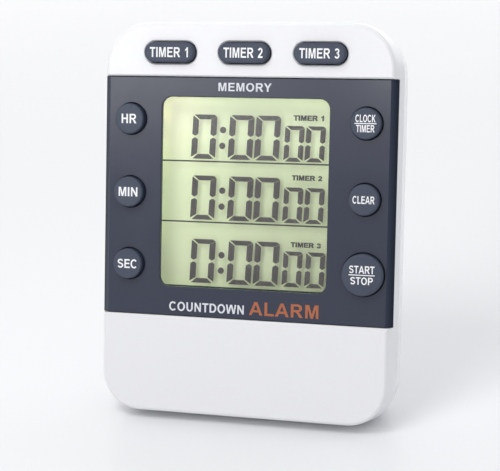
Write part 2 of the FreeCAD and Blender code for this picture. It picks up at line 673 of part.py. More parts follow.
def make_buzzer_leads():
    routes = [
        [(2.5, 23.0, -12.6), (3.5, 19.5, -11.0), (5.0, 16.5, -10.2), (6.0, 15.5, -8.25)],
        [(6.2, 24.0, -12.7), (8.2, 20.5, -11.0), (9.0, 17.5, -10.2), (9.2, 16.2, -8.25)],
    ]
    return Part.makeCompound([lead(route, 0.35) for route in routes])


def make_battery_lead(start_x, side):
    """Lead from a contact plate to the board; side is 1 on the right, -1 on the left."""
    bends = [(22.5, -26.25, -9.4), (19.5, -24.6, -10.3), (17.0, -22.6, -10.3),
             (15.6, -21.4, -8.25)]
    return lead([(start_x, -26.25, -8.6)] + [(side * x, y, z) for x, y, z in bends], 0.42)


# ---------------------------------------------------------------- screws
def pan_screw(x, y, seat, head_r, head_h, shank_r, shank_length, slot):
    """Self-tapping screw with its head behind the seat and its shank running forward.

    slot is half the width of the cross recess.
    """
    head_back = seat - head_h
    head = cyl(x, y, head_r, head_back, seat)
    head = head.makeFillet(head_h * 0.45, edges_at(head, "Z", head_back))
    tip = 0.8
    tip_z = seat + shank_length - tip
    shank = cyl(x, y, shank_r, seat, tip_z)
    point = Part.makeCone(shank_r, shank_r * 0.35, tip, Vector(x, y, tip_z), Vector(0, 0, 1))
    screw = fuse(head, shank, point)
    arm = head_r * 0.62
    back = head_back - 0.2
    front = back + head_h * 0.6
    cross = box(x - arm, x + arm, y - slot, y + slot, back, front)
    return screw.cut(cross.fuse(box(x - slot, x + slot, y - arm, y + arm, back, front)))


def make_screws(places, size):
    return Part.makeCompound([pan_screw(x, y, **size) for x, y in places])


# ---------------------------------------------------------------- battery parts
def make_cell():
    """Cell lying along X, with its raised terminal to the right."""
    body = cyl_x(CELL_Y, CELL_Z, CELL_R, CELL_LEFT, CELL_RIGHT - 1.0)
    body = body.makeFillet(0.35, [edge for edge in body.Edges if edge.BoundBox.XLength < 1e-6])
    nub = cyl_x(CELL_Y, CELL_Z, 1.9, CELL_RIGHT - 1.2, CELL_RIGHT)
    nub = nub.makeFillet(0.3, edges_at(nub, "X", CELL_RIGHT))
    groove = cyl_x(CELL_Y, CELL_Z, CELL_R + 1, CELL_RIGHT - 2.2, CELL_RIGHT - 1.9)
    groove = groove.cut(cyl_x(CELL_Y, CELL_Z, CELL_R - 0.15, CELL_RIGHT - 3, CELL_RIGHT))
    return fuse(body, nub).cut(groove)


def contact_plate(left, *extras):
    """Upright plate with a solder tab above it."""
    right = left + PLATE_T
    plate = box(left, right, CELL_Y - PLATE_HALF_Y, CELL_Y + PLATE_HALF_Y,
                CELL_Z - PLATE_HALF_Z, CELL_Z + PLATE_HALF_Z)
    tab = box(left, right, CELL_Y + 4.0, BAY_TOP + 1.8, CELL_Z - 0.2, CELL_Z + 1.4)
    return fuse(plate, tab, *extras)


def make_plus_plate():
    bump = Part.makeCone(1.6, 2.4, 0.6, Vector(24.36, CELL_Y, CELL_Z), Vector(1, 0, 0))
    return contact_plate(PLUS_PLATE_X, bump)


def make_minus_spring():
    """Conical coil between the negative plate and the cell's flat end."""
    length, turns, wire_r = 4.45, 4.0, 0.32
    plate_end_r, cell_end_r = 3.6, 2.3
    start_x = MINUS_PLATE_X + PLATE_T + wire_r
    steps = 120
    points = []
    for i in range(steps + 1):
        part = i / steps
        # no advance over the first and last half turn
        advance = min(1.0, max(0.0, (part * turns - 0.5) / (turns - 1.0)))
        angle = 2 * math.pi * turns * part
        radius = plate_end_r + (cell_end_r - plate_end_r) * part
        points.append(Vector(start_x + length * advance, CELL_Y + radius * math.cos(angle),
                             CELL_Z + radius * math.sin(angle)))
    curve = Part.BSplineCurve()
    curve.approximate(Points=points, DegMax=5, Tolerance=0.004)
    return swept_wire(curve, wire_r, True)


def make_battery_door():
    door = fuse(box(-DOOR_X, DOOR_X, DOOR_Y, DOOR_TOP, DOOR_BACK, DOOR_FRONT),
                cyl_x(DOOR_Y, DOOR_Z, 1.2, -DOOR_X, DOOR_X))
    # long outer edge at the top of the door
    door = door.makeChamfer(0.25, [edge for edge in edges_at(door, "Z", DOOR_BACK)
                                   if abs(edge.BoundBox.YMin - DOOR_TOP) < 1e-5
                                   and edge.BoundBox.YLength < 1e-6])
    # thumb grip: a shallow round-ended recess with ridges
    grip_y, ridge_pitch, ridge_w = -30.4, 2.1, 0.7
    door = door.cut(bar(0, grip_y, 13.0, 3.8, -17, -15.75))
    for i in range(-2, 3):
        x = i * ridge_pitch
        ridge = bar(x, grip_y, ridge_w, 0.69, -16.15, -15.7)
        door = door.fuse(ridge.fuse(box(x - ridge_w / 2, x + ridge_w / 2,
                                        grip_y - 1.2, grip_y + 1.2, -16.1, -15.7)))
    # inner stiffening ribs, latch tongue and hinge pins
    for x in (-16.0, 16.0):
        door = door.fuse(box(x - 0.5, x + 0.5, -29.6, -28.75, -14.7, -13.6))
    door = door.fuse(box(-4.0, 4.0, -28.75, -27.85, -14.7, -12.3))
    for left, right in ((-DOOR_PIN_X, -DOOR_X + 0.5), (DOOR_X - 0.5, DOOR_PIN_X)):
        door = door.fuse(cyl_x(DOOR_Y, DOOR_Z, DOOR_PIN_R, left, right))
    return door.removeSplitter()


# ---------------------------------------------------------------- stand
def make_stand():
    """Drawn folded flat up the back, then swung out to where its foot meets the bench."""
    back, front = STAND_Z - STAND_OUT, STAND_Z - STAND_IN
    foot_y = STAND_Y + STAND_LENGTH
    stand = fuse(box(-STAND_X, STAND_X, STAND_Y, foot_y, back, front),
                 cyl_x(foot_y, (back + front) / 2, STAND_FOOT_R, -STAND_X, STAND_X))
    # round the two outer corners of the foot end in plan
    stand = stand.common(slab(-STAND_X, STAND_X, STAND_Y - 5, foot_y + STAND_FOOT_R,
                              1.8, 0.1, back - 2, front + 2))
    stand = stand.fuse(cyl_x(STAND_Y, STAND_Z, STAND_OUT, -STAND_X, STAND_X))
    # open middle
    stand = stand.cut(slab(-8.2, 8.2, STAND_Y + 6.5, STAND_Y + 23.0, 2.0, 2.0,
                           back - 2, front + 2))
    # V grooves near the foot
    for i in range(4):
        y = STAND_Y + 25.2 + 1.2 * i
        groove = [(y - 0.3, back - 0.2), (y + 0.3, back - 0.2), (y, back + 0.35)]
        stand = stand.cut(prism_yz(groove, -7.5, 7.5))
    stand = fuse(stand, cyl_x(STAND_Y, STAND_Z, STAND_PIN_R, -STAND_PIN_X, STAND_PIN_X))
    stand.rotate(Vector(0, STAND_Y, STAND_Z), Vector(1, 0, 0), math.degrees(STAND_ANGLE))
    return stand


# ---------------------------------------------------------------- all pieces
def build():
    pieces = {
        "front_shell": make_front_shell(),
        "rear_shell": make_rear_shell(),
        "face_panel": make_face_panel(),
        "display_window": make_display_window(),
        "keypad_mat": make_keypad_mat(),
        "main_board": make_main_board(),
        "chip_blob": make_chip_blob(),
        "crystal": make_crystal(),
        "small_board_parts": make_small_parts(),
        "boost_coil": make_boost_coil(),
        "capacitor": make_capacitor(),
        "buzzer_plate": cyl(BUZZER_X, BUZZER_Y, BUZZER_R, BUZZER_BACK, BUZZER_MIDDLE),
        "buzzer_ceramic": cyl(BUZZER_X, BUZZER_Y, BUZZER_CERAMIC_R, BUZZER_MIDDLE, BUZZER_FRONT),
        "magnet_left": make_magnet(*MAGNETS[0]),
        "magnet_right": make_magnet(*MAGNETS[1]),
        "battery_cell": make_cell(),
        "battery_minus_plate": contact_plate(MINUS_PLATE_X),
        "battery_minus_spring": make_minus_spring(),
        "battery_plus_plate": make_plus_plate(),
        "battery_door": make_battery_door(),
        "stand": make_stand(),
        "case_screws": make_screws(CASE_SCREWS, CASE_SCREW_SIZE),
        "board_screws": make_screws(BOARD_SCREWS, BOARD_SCREW_SIZE),
        "buzzer_leads": make_buzzer_leads(),
        "battery_lead_red": make_battery_lead(24.5, 1),
        "battery_lead_black": make_battery_lead(-24.9, -1),
    }
    for name, sheet in LCD_SHEETS.items():
        pieces[name] = make_lcd_sheet(*sheet)
    for key in KEYS:
        pieces["key_" + key] = make_key(key)
        pieces["contact_pill_" + key] = core(key, -0.35, PILL_BACK, CORE_BACK)
    return pieces


def to_final_frame(shape):
    placed = shape.copy()
    placed.rotate(Vector(0, 0, 0), Vector(1, 0, 0), 90.0 - LEAN)
    placed.translate(FINAL_SHIFT)
    return placed


def main():
    os.makedirs("parts", exist_ok=True)
    for name, shape in build().items():
        solids = to_final_frame(shape).Solids
        piece = solids[0] if len(solids) == 1 else Part.makeCompound(solids)
        piece.exportStep(os.path.join("parts", name + ".step"))


main()
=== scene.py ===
"""A desk countdown timer: white case, dark face panel with nine keys, and a display of three rows.

The row frame is in metres with +Z up, and the face looks towards -Y. The case frame used for most
places here is in millimetres: its origin is the middle of the panel's face, x runs to the
reader's right, y runs up the face and z comes straight out of it.
"""
import bpy
import bmesh
import json
import math
from mathutils import Matrix, Vector


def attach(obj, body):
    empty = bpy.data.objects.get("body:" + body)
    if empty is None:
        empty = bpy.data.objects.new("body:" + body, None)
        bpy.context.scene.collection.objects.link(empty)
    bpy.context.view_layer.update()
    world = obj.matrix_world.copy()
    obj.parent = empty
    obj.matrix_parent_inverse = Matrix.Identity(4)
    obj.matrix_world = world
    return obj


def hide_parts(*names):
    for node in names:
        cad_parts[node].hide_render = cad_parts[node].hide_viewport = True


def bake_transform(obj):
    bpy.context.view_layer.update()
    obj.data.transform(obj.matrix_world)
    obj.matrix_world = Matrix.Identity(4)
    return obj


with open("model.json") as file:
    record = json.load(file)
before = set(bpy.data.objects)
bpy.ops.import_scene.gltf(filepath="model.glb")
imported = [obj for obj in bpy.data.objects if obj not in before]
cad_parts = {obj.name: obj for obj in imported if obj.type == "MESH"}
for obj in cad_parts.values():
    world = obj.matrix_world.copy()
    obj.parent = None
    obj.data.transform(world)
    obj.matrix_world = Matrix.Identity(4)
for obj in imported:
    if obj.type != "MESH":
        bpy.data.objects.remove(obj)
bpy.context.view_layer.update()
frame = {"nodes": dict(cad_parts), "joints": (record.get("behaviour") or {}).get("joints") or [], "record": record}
pieces = frame["nodes"]
scene = bpy.context.scene

MM = 0.001
SKY = (0.90, 0.905, 0.915)        # what the camera sees where the bench fades out

# ---------------------------------------------------------------- the case frame
# The keys travel straight into the face, so a key's joint gives the direction the face looks in.
press = next(joint for joint in frame["joints"] if joint["name"] == "clear_press")
FACE_Z = -Vector(press["axis"]).normalized()
FACE_X = Vector((1, 0, 0))
FACE_Y = FACE_Z.cross(FACE_X).normalized()
FACE_AXES = {"x": FACE_X, "y": FACE_Y, "z": FACE_Z}


def panel_origin():
    """The middle of the panel's outline, at the height of its front."""
    points = [v.co for v in pieces["face_panel"].data.vertices]
    xs, ys, zs = ([p.dot(axis) for p in points] for axis in FACE_AXES.values())
    middle = FACE_X * ((min(xs) + max(xs)) / 2) + FACE_Y * ((min(ys) + max(ys)) / 2)
    return middle + FACE_Z * max(zs)


ORIGIN = panel_origin()


def place(x, y, z=0.0):
    """Case-frame millimetres to row-frame metres."""
    return ORIGIN + (FACE_X * x + FACE_Y * y + FACE_Z * z) * MM


def face_box(piece):
    """A piece's box in the case frame: x0, x1, y0, y1, z0, z1."""
    points = [v.co - ORIGIN for v in pieces[piece].data.vertices]
    box = []
    for axis in FACE_AXES.values():
        along = [p.dot(axis) / MM for p in points]
        box += [min(along), max(along)]
    return box


# ---------------------------------------------------------------- shader graphs
# Colours are linear (red, green, blue); ShaderGraph.feed adds the alpha.
def srgb(*levels):
    """Display levels from 0 to 255, as a linear colour."""
    def linear(level):
        level /= 255.0
        return level / 12.92 if level <= 0.04045 else ((level + 0.055) / 1.055) ** 2.4
    return tuple(linear(level) for level in levels)


def shade(colour, factor):
    return tuple(level * factor for level in colour)


class ShaderGraph:
    """Builds the node tree of a material or world. A node given as a value is its first output."""

    def __init__(self, owner, output="OutputMaterial"):
        owner.use_nodes = True
        self.owner = owner
        self.tree = owner.node_tree
        self.tree.nodes.clear()
        self.out = self.node(output)
        self.object_coord = None

    def feed(self, socket, value):
        """Links or sets an input; None leaves it alone."""
        if value is None:
            return
        if isinstance(value, bpy.types.Node):
            value = value.outputs[0]
        if isinstance(value, bpy.types.NodeSocket):
            self.tree.links.new(value, socket)
        elif socket.type == "RGBA":
            socket.default_value = (*value, 1.0)
        else:
            socket.default_value = value

    def node(self, kind, inputs=None, **properties):
        made = self.tree.nodes.new("ShaderNode" + kind)
        for key, value in properties.items():
            setattr(made, key, value)
        for key, value in (inputs or {}).items():
            self.feed(made.inputs[key], value)
        return made

    def finish(self, shader):
        self.feed(self.out.inputs["Surface"], shader)
        return self.owner

    def coord(self):
        if self.object_coord is None:
            self.object_coord = self.node("TexCoord").outputs["Object"]
        return self.object_coord

    def dot(self, first, second):
        made = self.node("VectorMath", {0: first, 1: second}, operation="DOT_PRODUCT")
        return made.outputs["Value"]

    def face_coord(self, letters):
        """The named case-frame coordinates, in millimetres."""
        offset = self.node("VectorMath", {0: self.coord(), 1: ORIGIN}, operation="SUBTRACT")
        return [self.dot(offset, FACE_AXES[letter] / MM) for letter in letters]

    def noise(self, scale, detail=3.0, rough=0.5, stretch=None):
        coord = self.coord()
        if stretch:
            coord = self.node("Mapping", {"Vector": coord, "Scale": stretch})
        inputs = {"Vector": coord, "Scale": scale, "Detail": detail, "Roughness": rough}
        return self.node("TexNoise", inputs).outputs["Fac"]

    def voronoi(self, scale):
        made = self.node("TexVoronoi", {"Vector": self.coord(), "Scale": scale})
        return made.outputs["Distance"]

    def ramp(self, value, span=(0.3, 0.7), to=(0.0, 1.0), smooth=False):
        """Maps the range span onto the range to, held at both ends."""
        inputs = {"Value": value, "From Min": span[0], "From Max": span[1],
                  "To Min": to[0], "To Max": to[1]}
        interpolation = "SMOOTHSTEP" if smooth else "LINEAR"
        made = self.node("MapRange", inputs, interpolation_type=interpolation)
        return made.outputs["Result"]

    def math(self, operation, first, second=None, clamp=False):
        return self.node("Math", {0: first, 1: second}, operation=operation, use_clamp=clamp)

    def add(self, first, second):
        return self.math("ADD", first, second)

    def times(self, first, second):
        return self.math("MULTIPLY", first, second)

    def distance(self, value, centre):
        return self.math("ABSOLUTE", self.math("SUBTRACT", value, centre))

    def mix(self, share, first, second):
        """Blends two colours; share is how much of the second shows."""
        return self.node("Mix", {0: share, 6: first, 7: second}, data_type="RGBA").outputs[2]

    def mix_shader(self, share, first, second):
        return self.node("MixShader", {0: share, 1: first, 2: second})

    def bump(self, height, strength, distance, normal=None):
        inputs = {"Height": height, "Strength": strength, "Distance": distance, "Normal": normal}
        return self.node("Bump", inputs)

    def edge(self, radius):
        """1 on sharp edges, where the rounded normal leans from the true one; 0 on flats."""
        bevel = self.node("Bevel", {"Radius": radius}, samples=4)
        normal = self.node("NewGeometry").outputs["Normal"]
        return self.ramp(self.dot(bevel, normal), span=(0.995, 0.86))

    def principled(self, **sockets):
        inputs = {key.replace("_", " "): value for key, value in sockets.items()}
        return self.node("BsdfPrincipled", inputs)


def material_graph(name):
    return ShaderGraph(bpy.data.materials.new(name))


# ---------------------------------------------------------------- kinds of material
def moulded(name, colour, rough, grain=0.0, grain_scale=9000.0, orange=0.0, wave=0.004,
            tint=None, dark=0.93, edge=None, edge_radius=0.00035, dust=0.0):
    """Moulded plastic with slow colour drift and uneven polish.

    grain, orange and wave are the strengths of the cell texture, orange peel and flow waviness.
    tint is a second colour in patches and dark the factor of the darker drift. edge colours the
    sharp edges, and dust is the share of pale specks on faces that look up.
    """
    graph = material_graph(name)
    slow = graph.noise(scale=38.0, detail=4.0, rough=0.55)
    fine = graph.noise(scale=1500.0, detail=2.0, rough=0.6)
    base = graph.mix(graph.ramp(slow), shade(colour, dark), colour)
    if tint is not None:
        patches = graph.ramp(graph.noise(scale=90.0), span=(0.42, 0.68), to=(0.0, 0.5))
        base = graph.mix(patches, base, tint)
    base = graph.mix(graph.ramp(fine, span=(0.35, 0.7), to=(0.0, 0.05)), base, shade(colour, 0.8))
    if edge is not None:
        base = graph.mix(graph.times(graph.edge(edge_radius), 0.55), base, edge)
    if dust > 0:
        normal = graph.node("NewGeometry").outputs["Normal"]
        upward = graph.node("SeparateXYZ", {0: normal}).outputs["Z"]
        specks = graph.ramp(graph.noise(scale=2600.0, detail=2.0, rough=0.7), span=(0.66, 0.74))
        specks = graph.times(specks, graph.ramp(upward, span=(0.0, 0.9)))
        base = graph.mix(graph.times(specks, dust), base, (0.5, 0.5, 0.48))

    smudge = graph.noise(scale=120.0, detail=5.0, rough=0.62)
    smudge = graph.ramp(smudge, span=(0.35, 0.72), to=(-1.0, 1.0))
    roughness = graph.add(graph.times(smudge, rough * 0.16), rough)
    fine_change = graph.times(graph.ramp(fine, to=(-1, 1)), rough * 0.06)
    roughness = graph.math("ADD", roughness, fine_change, clamp=True)

    flow = graph.noise(scale=210.0, detail=2.0, rough=0.4)
    normal = graph.bump(flow, strength=wave * 10, distance=0.00002)
    if orange > 0:
        peel = graph.noise(scale=1400.0, detail=2.0)
        normal = graph.bump(peel, strength=orange, distance=0.000012, normal=normal)
    if grain > 0:
        cells = graph.add(graph.voronoi(grain_scale), graph.noise(grain_scale * 0.8, rough=0.7))
        normal = graph.bump(cells, strength=grain, distance=0.00002, normal=normal)
    return graph.finish(graph.principled(
        Base_Color=base, Roughness=roughness, Normal=normal, Coat_Roughness=0.08))


def metal(name, colour, rough, brushed=None, tarnish=None, dent=0.25):
    """Metal with fine lines, stretched by brushed, and patches of a tarnish colour."""
    graph = material_graph(name)
    lines = graph.noise(scale=700.0 if brushed else 1100.0, detail=4.0, rough=0.6, stretch=brushed)
    blot = graph.noise(scale=260.0, detail=5.0, rough=0.65)
    line_share = graph.ramp(lines, span=(0.35, 0.65), to=(0.0, 0.35))
    base = graph.mix(line_share, colour, shade(colour, 0.72))
    if tarnish:
        base = graph.mix(graph.ramp(blot, span=(0.52, 0.75), to=(0.0, 0.6)), base, tarnish)
    roughness = graph.math("ADD", graph.ramp(blot, to=(rough * 0.75, rough * 1.3)),
                           graph.ramp(lines, to=(-0.04, 0.06)), clamp=True)
    normal = graph.bump(lines, strength=dent, distance=0.00002)
    return graph.finish(graph.principled(
        Base_Color=base, Metallic=1.0, Roughness=roughness, Normal=normal))


def rubber(name, colour, rough, grain, subsurface=0.0):
    """Matt rubber or foam with a fine grain and pale flecks."""
    graph = material_graph(name)
    slow = graph.noise(scale=60.0, detail=4.0)
    fine = graph.noise(scale=2600.0, detail=4.0, rough=0.7)
    base = graph.mix(graph.ramp(slow), shade(colour, 0.84), colour)
    pale = tuple(min(1, level * 1.35 + 0.01) for level in colour)
    base = graph.mix(graph.ramp(fine, span=(0.55, 0.75), to=(0.0, 0.3)), base, pale)
    shader = graph.principled(
        Base_Color=base,
        Roughness=graph.ramp(slow, to=(rough * 0.88, min(1.0, rough * 1.12))),
        Normal=graph.bump(fine, strength=grain, distance=0.00002))
    if subsurface:
        graph.feed(shader.inputs["Subsurface Weight"], subsurface)
        graph.feed(shader.inputs["Subsurface Radius"], (0.002, 0.0018, 0.0016))
        graph.feed(shader.inputs["Subsurface Scale"], 0.5)
    return graph.finish(shader)


def clear(name, tint, rough, reflect, haze=0.0):
    """A thin clear part: light passes straight through, with a mirror share that grows at a
    glancing angle, and a dull veil of strength haze."""
    graph = material_graph(name)
    see_through = graph.node("BsdfTransparent", {"Color": tint})
    smear = graph.noise(scale=150.0, detail=5.0, rough=0.6)
    ripple = graph.noise(scale=90.0, detail=2.0, rough=0.4)
    shine = graph.node("BsdfGlossy", {
        "Color": (1, 1, 1),
        "Roughness": graph.ramp(smear, span=(0.35, 0.75), to=(rough * 0.6, rough * 1.8)),
        "Normal": graph.bump(ripple, strength=0.03, distance=0.00002)})
    geometry = graph.node("NewGeometry")
    facing = graph.dot(geometry.outputs["Normal"], geometry.outputs["Incoming"])
    glancing = graph.math("SUBTRACT", 1.0, graph.math("ABSOLUTE", facing), clamp=True)
    glancing = graph.math("POWER", glancing, 5.0)
    share = graph.add(graph.times(glancing, 0.96 * reflect), 0.04 * reflect)
    outward = graph.math("SUBTRACT", 1.0, geometry.outputs["Backfacing"])
    shader = graph.mix_shader(graph.times(share, outward), see_through, shine)
    if haze > 0:
        veil = graph.node("BsdfDiffuse", {"Color": tint})
        cloud = graph.times(graph.ramp(graph.noise(scale=400.0), span=(0.3, 0.8)), haze)
        shader = graph.mix_shader(cloud, shader, veil)
    return graph.finish(shader)


# ---------------------------------------------------------------- single materials
def glowing_reflector_material():
    """Pale yellow-green film behind the display, with metallic grain; painted light makes it lighter towards the
    top and at the upper left.
    It also glows with painted light: an emission of its own colour, the same at any angle."""
    graph = material_graph("lcd_reflector")
    x, y = graph.face_coord("xy")
    fine = graph.noise(scale=5200.0, rough=0.75)
    mid = graph.noise(scale=300.0, rough=0.6)
    # Painted light: lighter towards the top, with a pale painted highlight at the upper left.
    base = graph.mix(graph.ramp(y, span=(-20.0, 21.0)), srgb(203, 211, 180), srgb(219, 229, 196))
    corner = graph.times(graph.ramp(x, span=(-19.0, -6.0), to=(0.8, 0.0), smooth=True),
                         graph.ramp(y, span=(2.0, 20.0), smooth=True))
    base = graph.mix(corner, base, srgb(238, 234, 207))
    base = graph.mix(graph.ramp(mid, to=(0.0, 0.22)), base, srgb(206, 219, 178))
    flecks = graph.ramp(fine, span=(0.3, 0.75), to=(0.0, 0.22))
    base = graph.mix(flecks, base, srgb(243, 244, 222))

    # The painted glow rises to the upper left, dips near the middle and rises again at the upper right.
    painted_glow = graph.add(graph.times(x, -0.006), graph.times(y, 0.006))
    dip_x = graph.ramp(graph.distance(x, 2.0), span=(3.0, 15.0), to=(0.11, 0.0), smooth=True)
    dip_y = graph.ramp(graph.distance(y, 2.0), span=(4.0, 19.0), to=(1.0, 0.3), smooth=True)
    upper = graph.times(graph.ramp(x, span=(0.0, 15.0), to=(0.0, 0.10), smooth=True),
                        graph.ramp(y, span=(3.0, 18.0), smooth=True))
    painted_glow = graph.add(graph.math("SUBTRACT", painted_glow, graph.times(dip_x, dip_y)), upper)
    mean_glow = 0.355
    # Painted light: the film emits its own colour, though it is no lamp.
    return graph.finish(graph.principled(
        Base_Color=base,
        Roughness=graph.ramp(mid, to=(0.5, 0.64)),
        Normal=graph.bump(fine, strength=0.25, distance=0.00001),
        Emission_Color=base,
        Emission_Strength=graph.add(painted_glow, mean_glow)))


def panel_material():
    """Dark panel: a polished, slightly wavy face with painted shade towards the right, and duller bevels down both
    sides with painted shade that darkens them outwards.
    """
    graph = material_graph("panel_abs")
    x, z = graph.face_coord("xz")
    slow = graph.noise(scale=38.0, detail=4.0, rough=0.55)
    fine = graph.noise(scale=1500.0, detail=2.0, rough=0.6)
    base = graph.mix(graph.ramp(slow), (0.0290, 0.0360, 0.0650), (0.0315, 0.0390, 0.0690))
    flecks = graph.ramp(fine, span=(0.35, 0.75), to=(0.0, 0.12))
    base = graph.mix(flecks, base, (0.037, 0.045, 0.073))
    # Painted shade: the face is darkened towards the right.
    painted_shade_rightward = graph.ramp(x, span=(-31.0, 31.0), to=(0.0, 0.30))
    base = graph.mix(painted_shade_rightward, base, (0.018, 0.024, 0.048))

    side = graph.ramp(graph.math("ABSOLUTE", x), span=(31.02, 31.22))
    low = graph.ramp(z, span=(-0.9, -0.25), to=(1.0, 0.0))
    bevel = graph.math("MAXIMUM", side, low)
    # Painted shade: the bevels darken towards their outer edge.
    slope_painted_shade = graph.ramp(graph.math("ABSOLUTE", x), span=(31.1, 32.5))
    bevel_painted_shade_colour = graph.mix(slope_painted_shade, (0.036, 0.046, 0.078), (0.007, 0.011, 0.021))
    base = graph.mix(bevel, base, bevel_painted_shade_colour)
    edge_share = graph.times(graph.edge(radius=0.00018), 0.35)
    base = graph.mix(edge_share, base, (0.060, 0.070, 0.098))

    smudge = graph.noise(scale=120.0, detail=5.0, rough=0.62)
    smudge = graph.ramp(smudge, span=(0.35, 0.75), to=(0.10, 0.17))
    flow = graph.noise(scale=160.0, detail=2.0, rough=0.4)
    normal = graph.bump(flow, strength=0.05, distance=0.00002)
    peel = graph.noise(scale=2400.0, detail=2.0)
    normal = graph.bump(peel, strength=0.05, distance=0.00001, normal=normal)
    return graph.finish(graph.principled(
        Base_Color=base,
        Normal=normal,
        Roughness=graph.add(graph.times(bevel, 0.27), smudge),
        Specular_IOR_Level=graph.ramp(bevel, span=(0.0, 1.0), to=(0.5, 0.20))))


def zebra_material():
    """Contact rubber banded along x, eight half-bands to the millimetre."""
    graph = material_graph("zebra_rubber")
    (x,) = graph.face_coord("x")
    band = graph.math("PINGPONG", graph.times(x, 8.0), 1.0)
    band_share = graph.ramp(band, span=(0.35, 0.65))
    core = graph.mix(band_share, (0.012, 0.012, 0.013), (0.050, 0.048, 0.050))
    flecks = graph.ramp(graph.noise(scale=900.0), span=(0.4, 0.7), to=(0.0, 0.3))
    return graph.finish(graph.principled(
        Base_Color=graph.mix(flecks, core, (0.075, 0.072, 0.074)),
        Roughness=0.62,
        Normal=graph.bump(band, strength=0.2, distance=0.00003)))


def board_material():
    """Green solder mask over faint copper tracks, with a woven laminate under it."""
    lane_pitch, track_length = 1.9, 7.0
    graph = material_graph("board_mask")
    x, y = graph.face_coord("xy")
    weave = graph.times(graph.math("PINGPONG", graph.times(x, 1.6), 1.0),
                        graph.math("PINGPONG", graph.times(y, 1.6), 1.0))
    # Each stretch of a lane gets one random value, which says whether a track runs there.
    lane_x = graph.math("SNAP", x, lane_pitch)
    spot = graph.node("CombineXYZ", {0: lane_x, 1: y})
    cell = graph.node("VectorMath", {0: spot, 1: (lane_pitch, track_length, 1.0)},
                      operation="SNAP")
    chance = graph.node("TexWhiteNoise", noise_dimensions="2D")
    graph.feed(chance.inputs["Vector"], cell)
    from_lane = graph.distance(graph.math("PINGPONG", x, lane_pitch / 2), 0.5)
    lane = graph.math("LESS_THAN", from_lane, 0.14)
    has_track = graph.math("GREATER_THAN", chance.outputs["Value"], 0.42)
    track = graph.times(lane, has_track)
    weave_share = graph.ramp(weave, span=(0.0, 1.0), to=(0.0, 0.25))
    base = graph.mix(weave_share, (0.012, 0.13, 0.05), (0.02, 0.17, 0.07))
    base = graph.mix(graph.times(track, 0.75), base, (0.05, 0.30, 0.10))
    height = graph.add(track, graph.times(weave, 0.15))
    return graph.finish(graph.principled(
        Base_Color=base,
        Roughness=graph.ramp(graph.noise(scale=400.0), to=(0.22, 0.36)),
        Normal=graph.bump(height, strength=0.5, distance=0.00004)))


def cell_material():
    """Battery sleeve: dark body, a copper-toned band at the right end and bare metal ends."""
    graph = material_graph("cell_sleeve")
    (x,) = graph.face_coord("x")
    left, right = face_box("battery_cell")[0:2]
    band_start = right - 14.0
    grain = graph.noise(scale=900.0, rough=0.6, stretch=(1, 9, 9))
    body = graph.mix(graph.ramp(grain), (0.035, 0.036, 0.04), (0.055, 0.056, 0.06))
    copper = graph.mix(graph.ramp(grain), (0.46, 0.24, 0.10), (0.58, 0.33, 0.15))
    band = graph.math("GREATER_THAN", x, band_start)
    bare = graph.math("MAXIMUM", graph.math("LESS_THAN", x, left + 0.5),
                      graph.math("GREATER_THAN", x, right - 1.9))
    base = graph.mix(bare, graph.mix(band, body, copper), (0.55, 0.55, 0.56))
    ring = graph.math("LESS_THAN", graph.distance(x, band_start), 0.25)
    return graph.finish(graph.principled(
        Base_Color=graph.mix(ring, base, (0.75, 0.75, 0.76)),
        Metallic=graph.math("MAXIMUM", bare, graph.times(band, 0.7)),
        Roughness=graph.ramp(grain, to=(0.26, 0.36)),
        Normal=graph.bump(grain, strength=0.08, distance=0.00002)))


def chip_material():
    """Small board parts: black, with brown patches."""
    graph = material_graph("chip_parts")
    speckle = graph.noise(scale=1800.0, rough=0.7)
    speckle_share = graph.ramp(speckle, span=(0.4, 0.7))
    base = graph.mix(speckle_share, (0.02, 0.02, 0.022), (0.05, 0.048, 0.045))
    patches = graph.ramp(graph.noise(scale=260.0, detail=1.0), span=(0.52, 0.56))
    return graph.finish(graph.principled(
        Base_Color=graph.mix(patches, base, (0.33, 0.24, 0.15)),
        Roughness=graph.ramp(speckle, to=(0.35, 0.55)),
        Normal=graph.bump(speckle, strength=0.3, distance=0.00002)))


def ink(name, colour, rough=0.45, grain=0.05, grain_scale=7000.0, dark=0.95):
    return moulded(name, colour, rough, grain=grain, grain_scale=grain_scale, dark=dark)


def segment_ink(name, colour):
    return ink(name, colour, rough=0.55, grain=0.04, grain_scale=9000.0, dark=0.9)


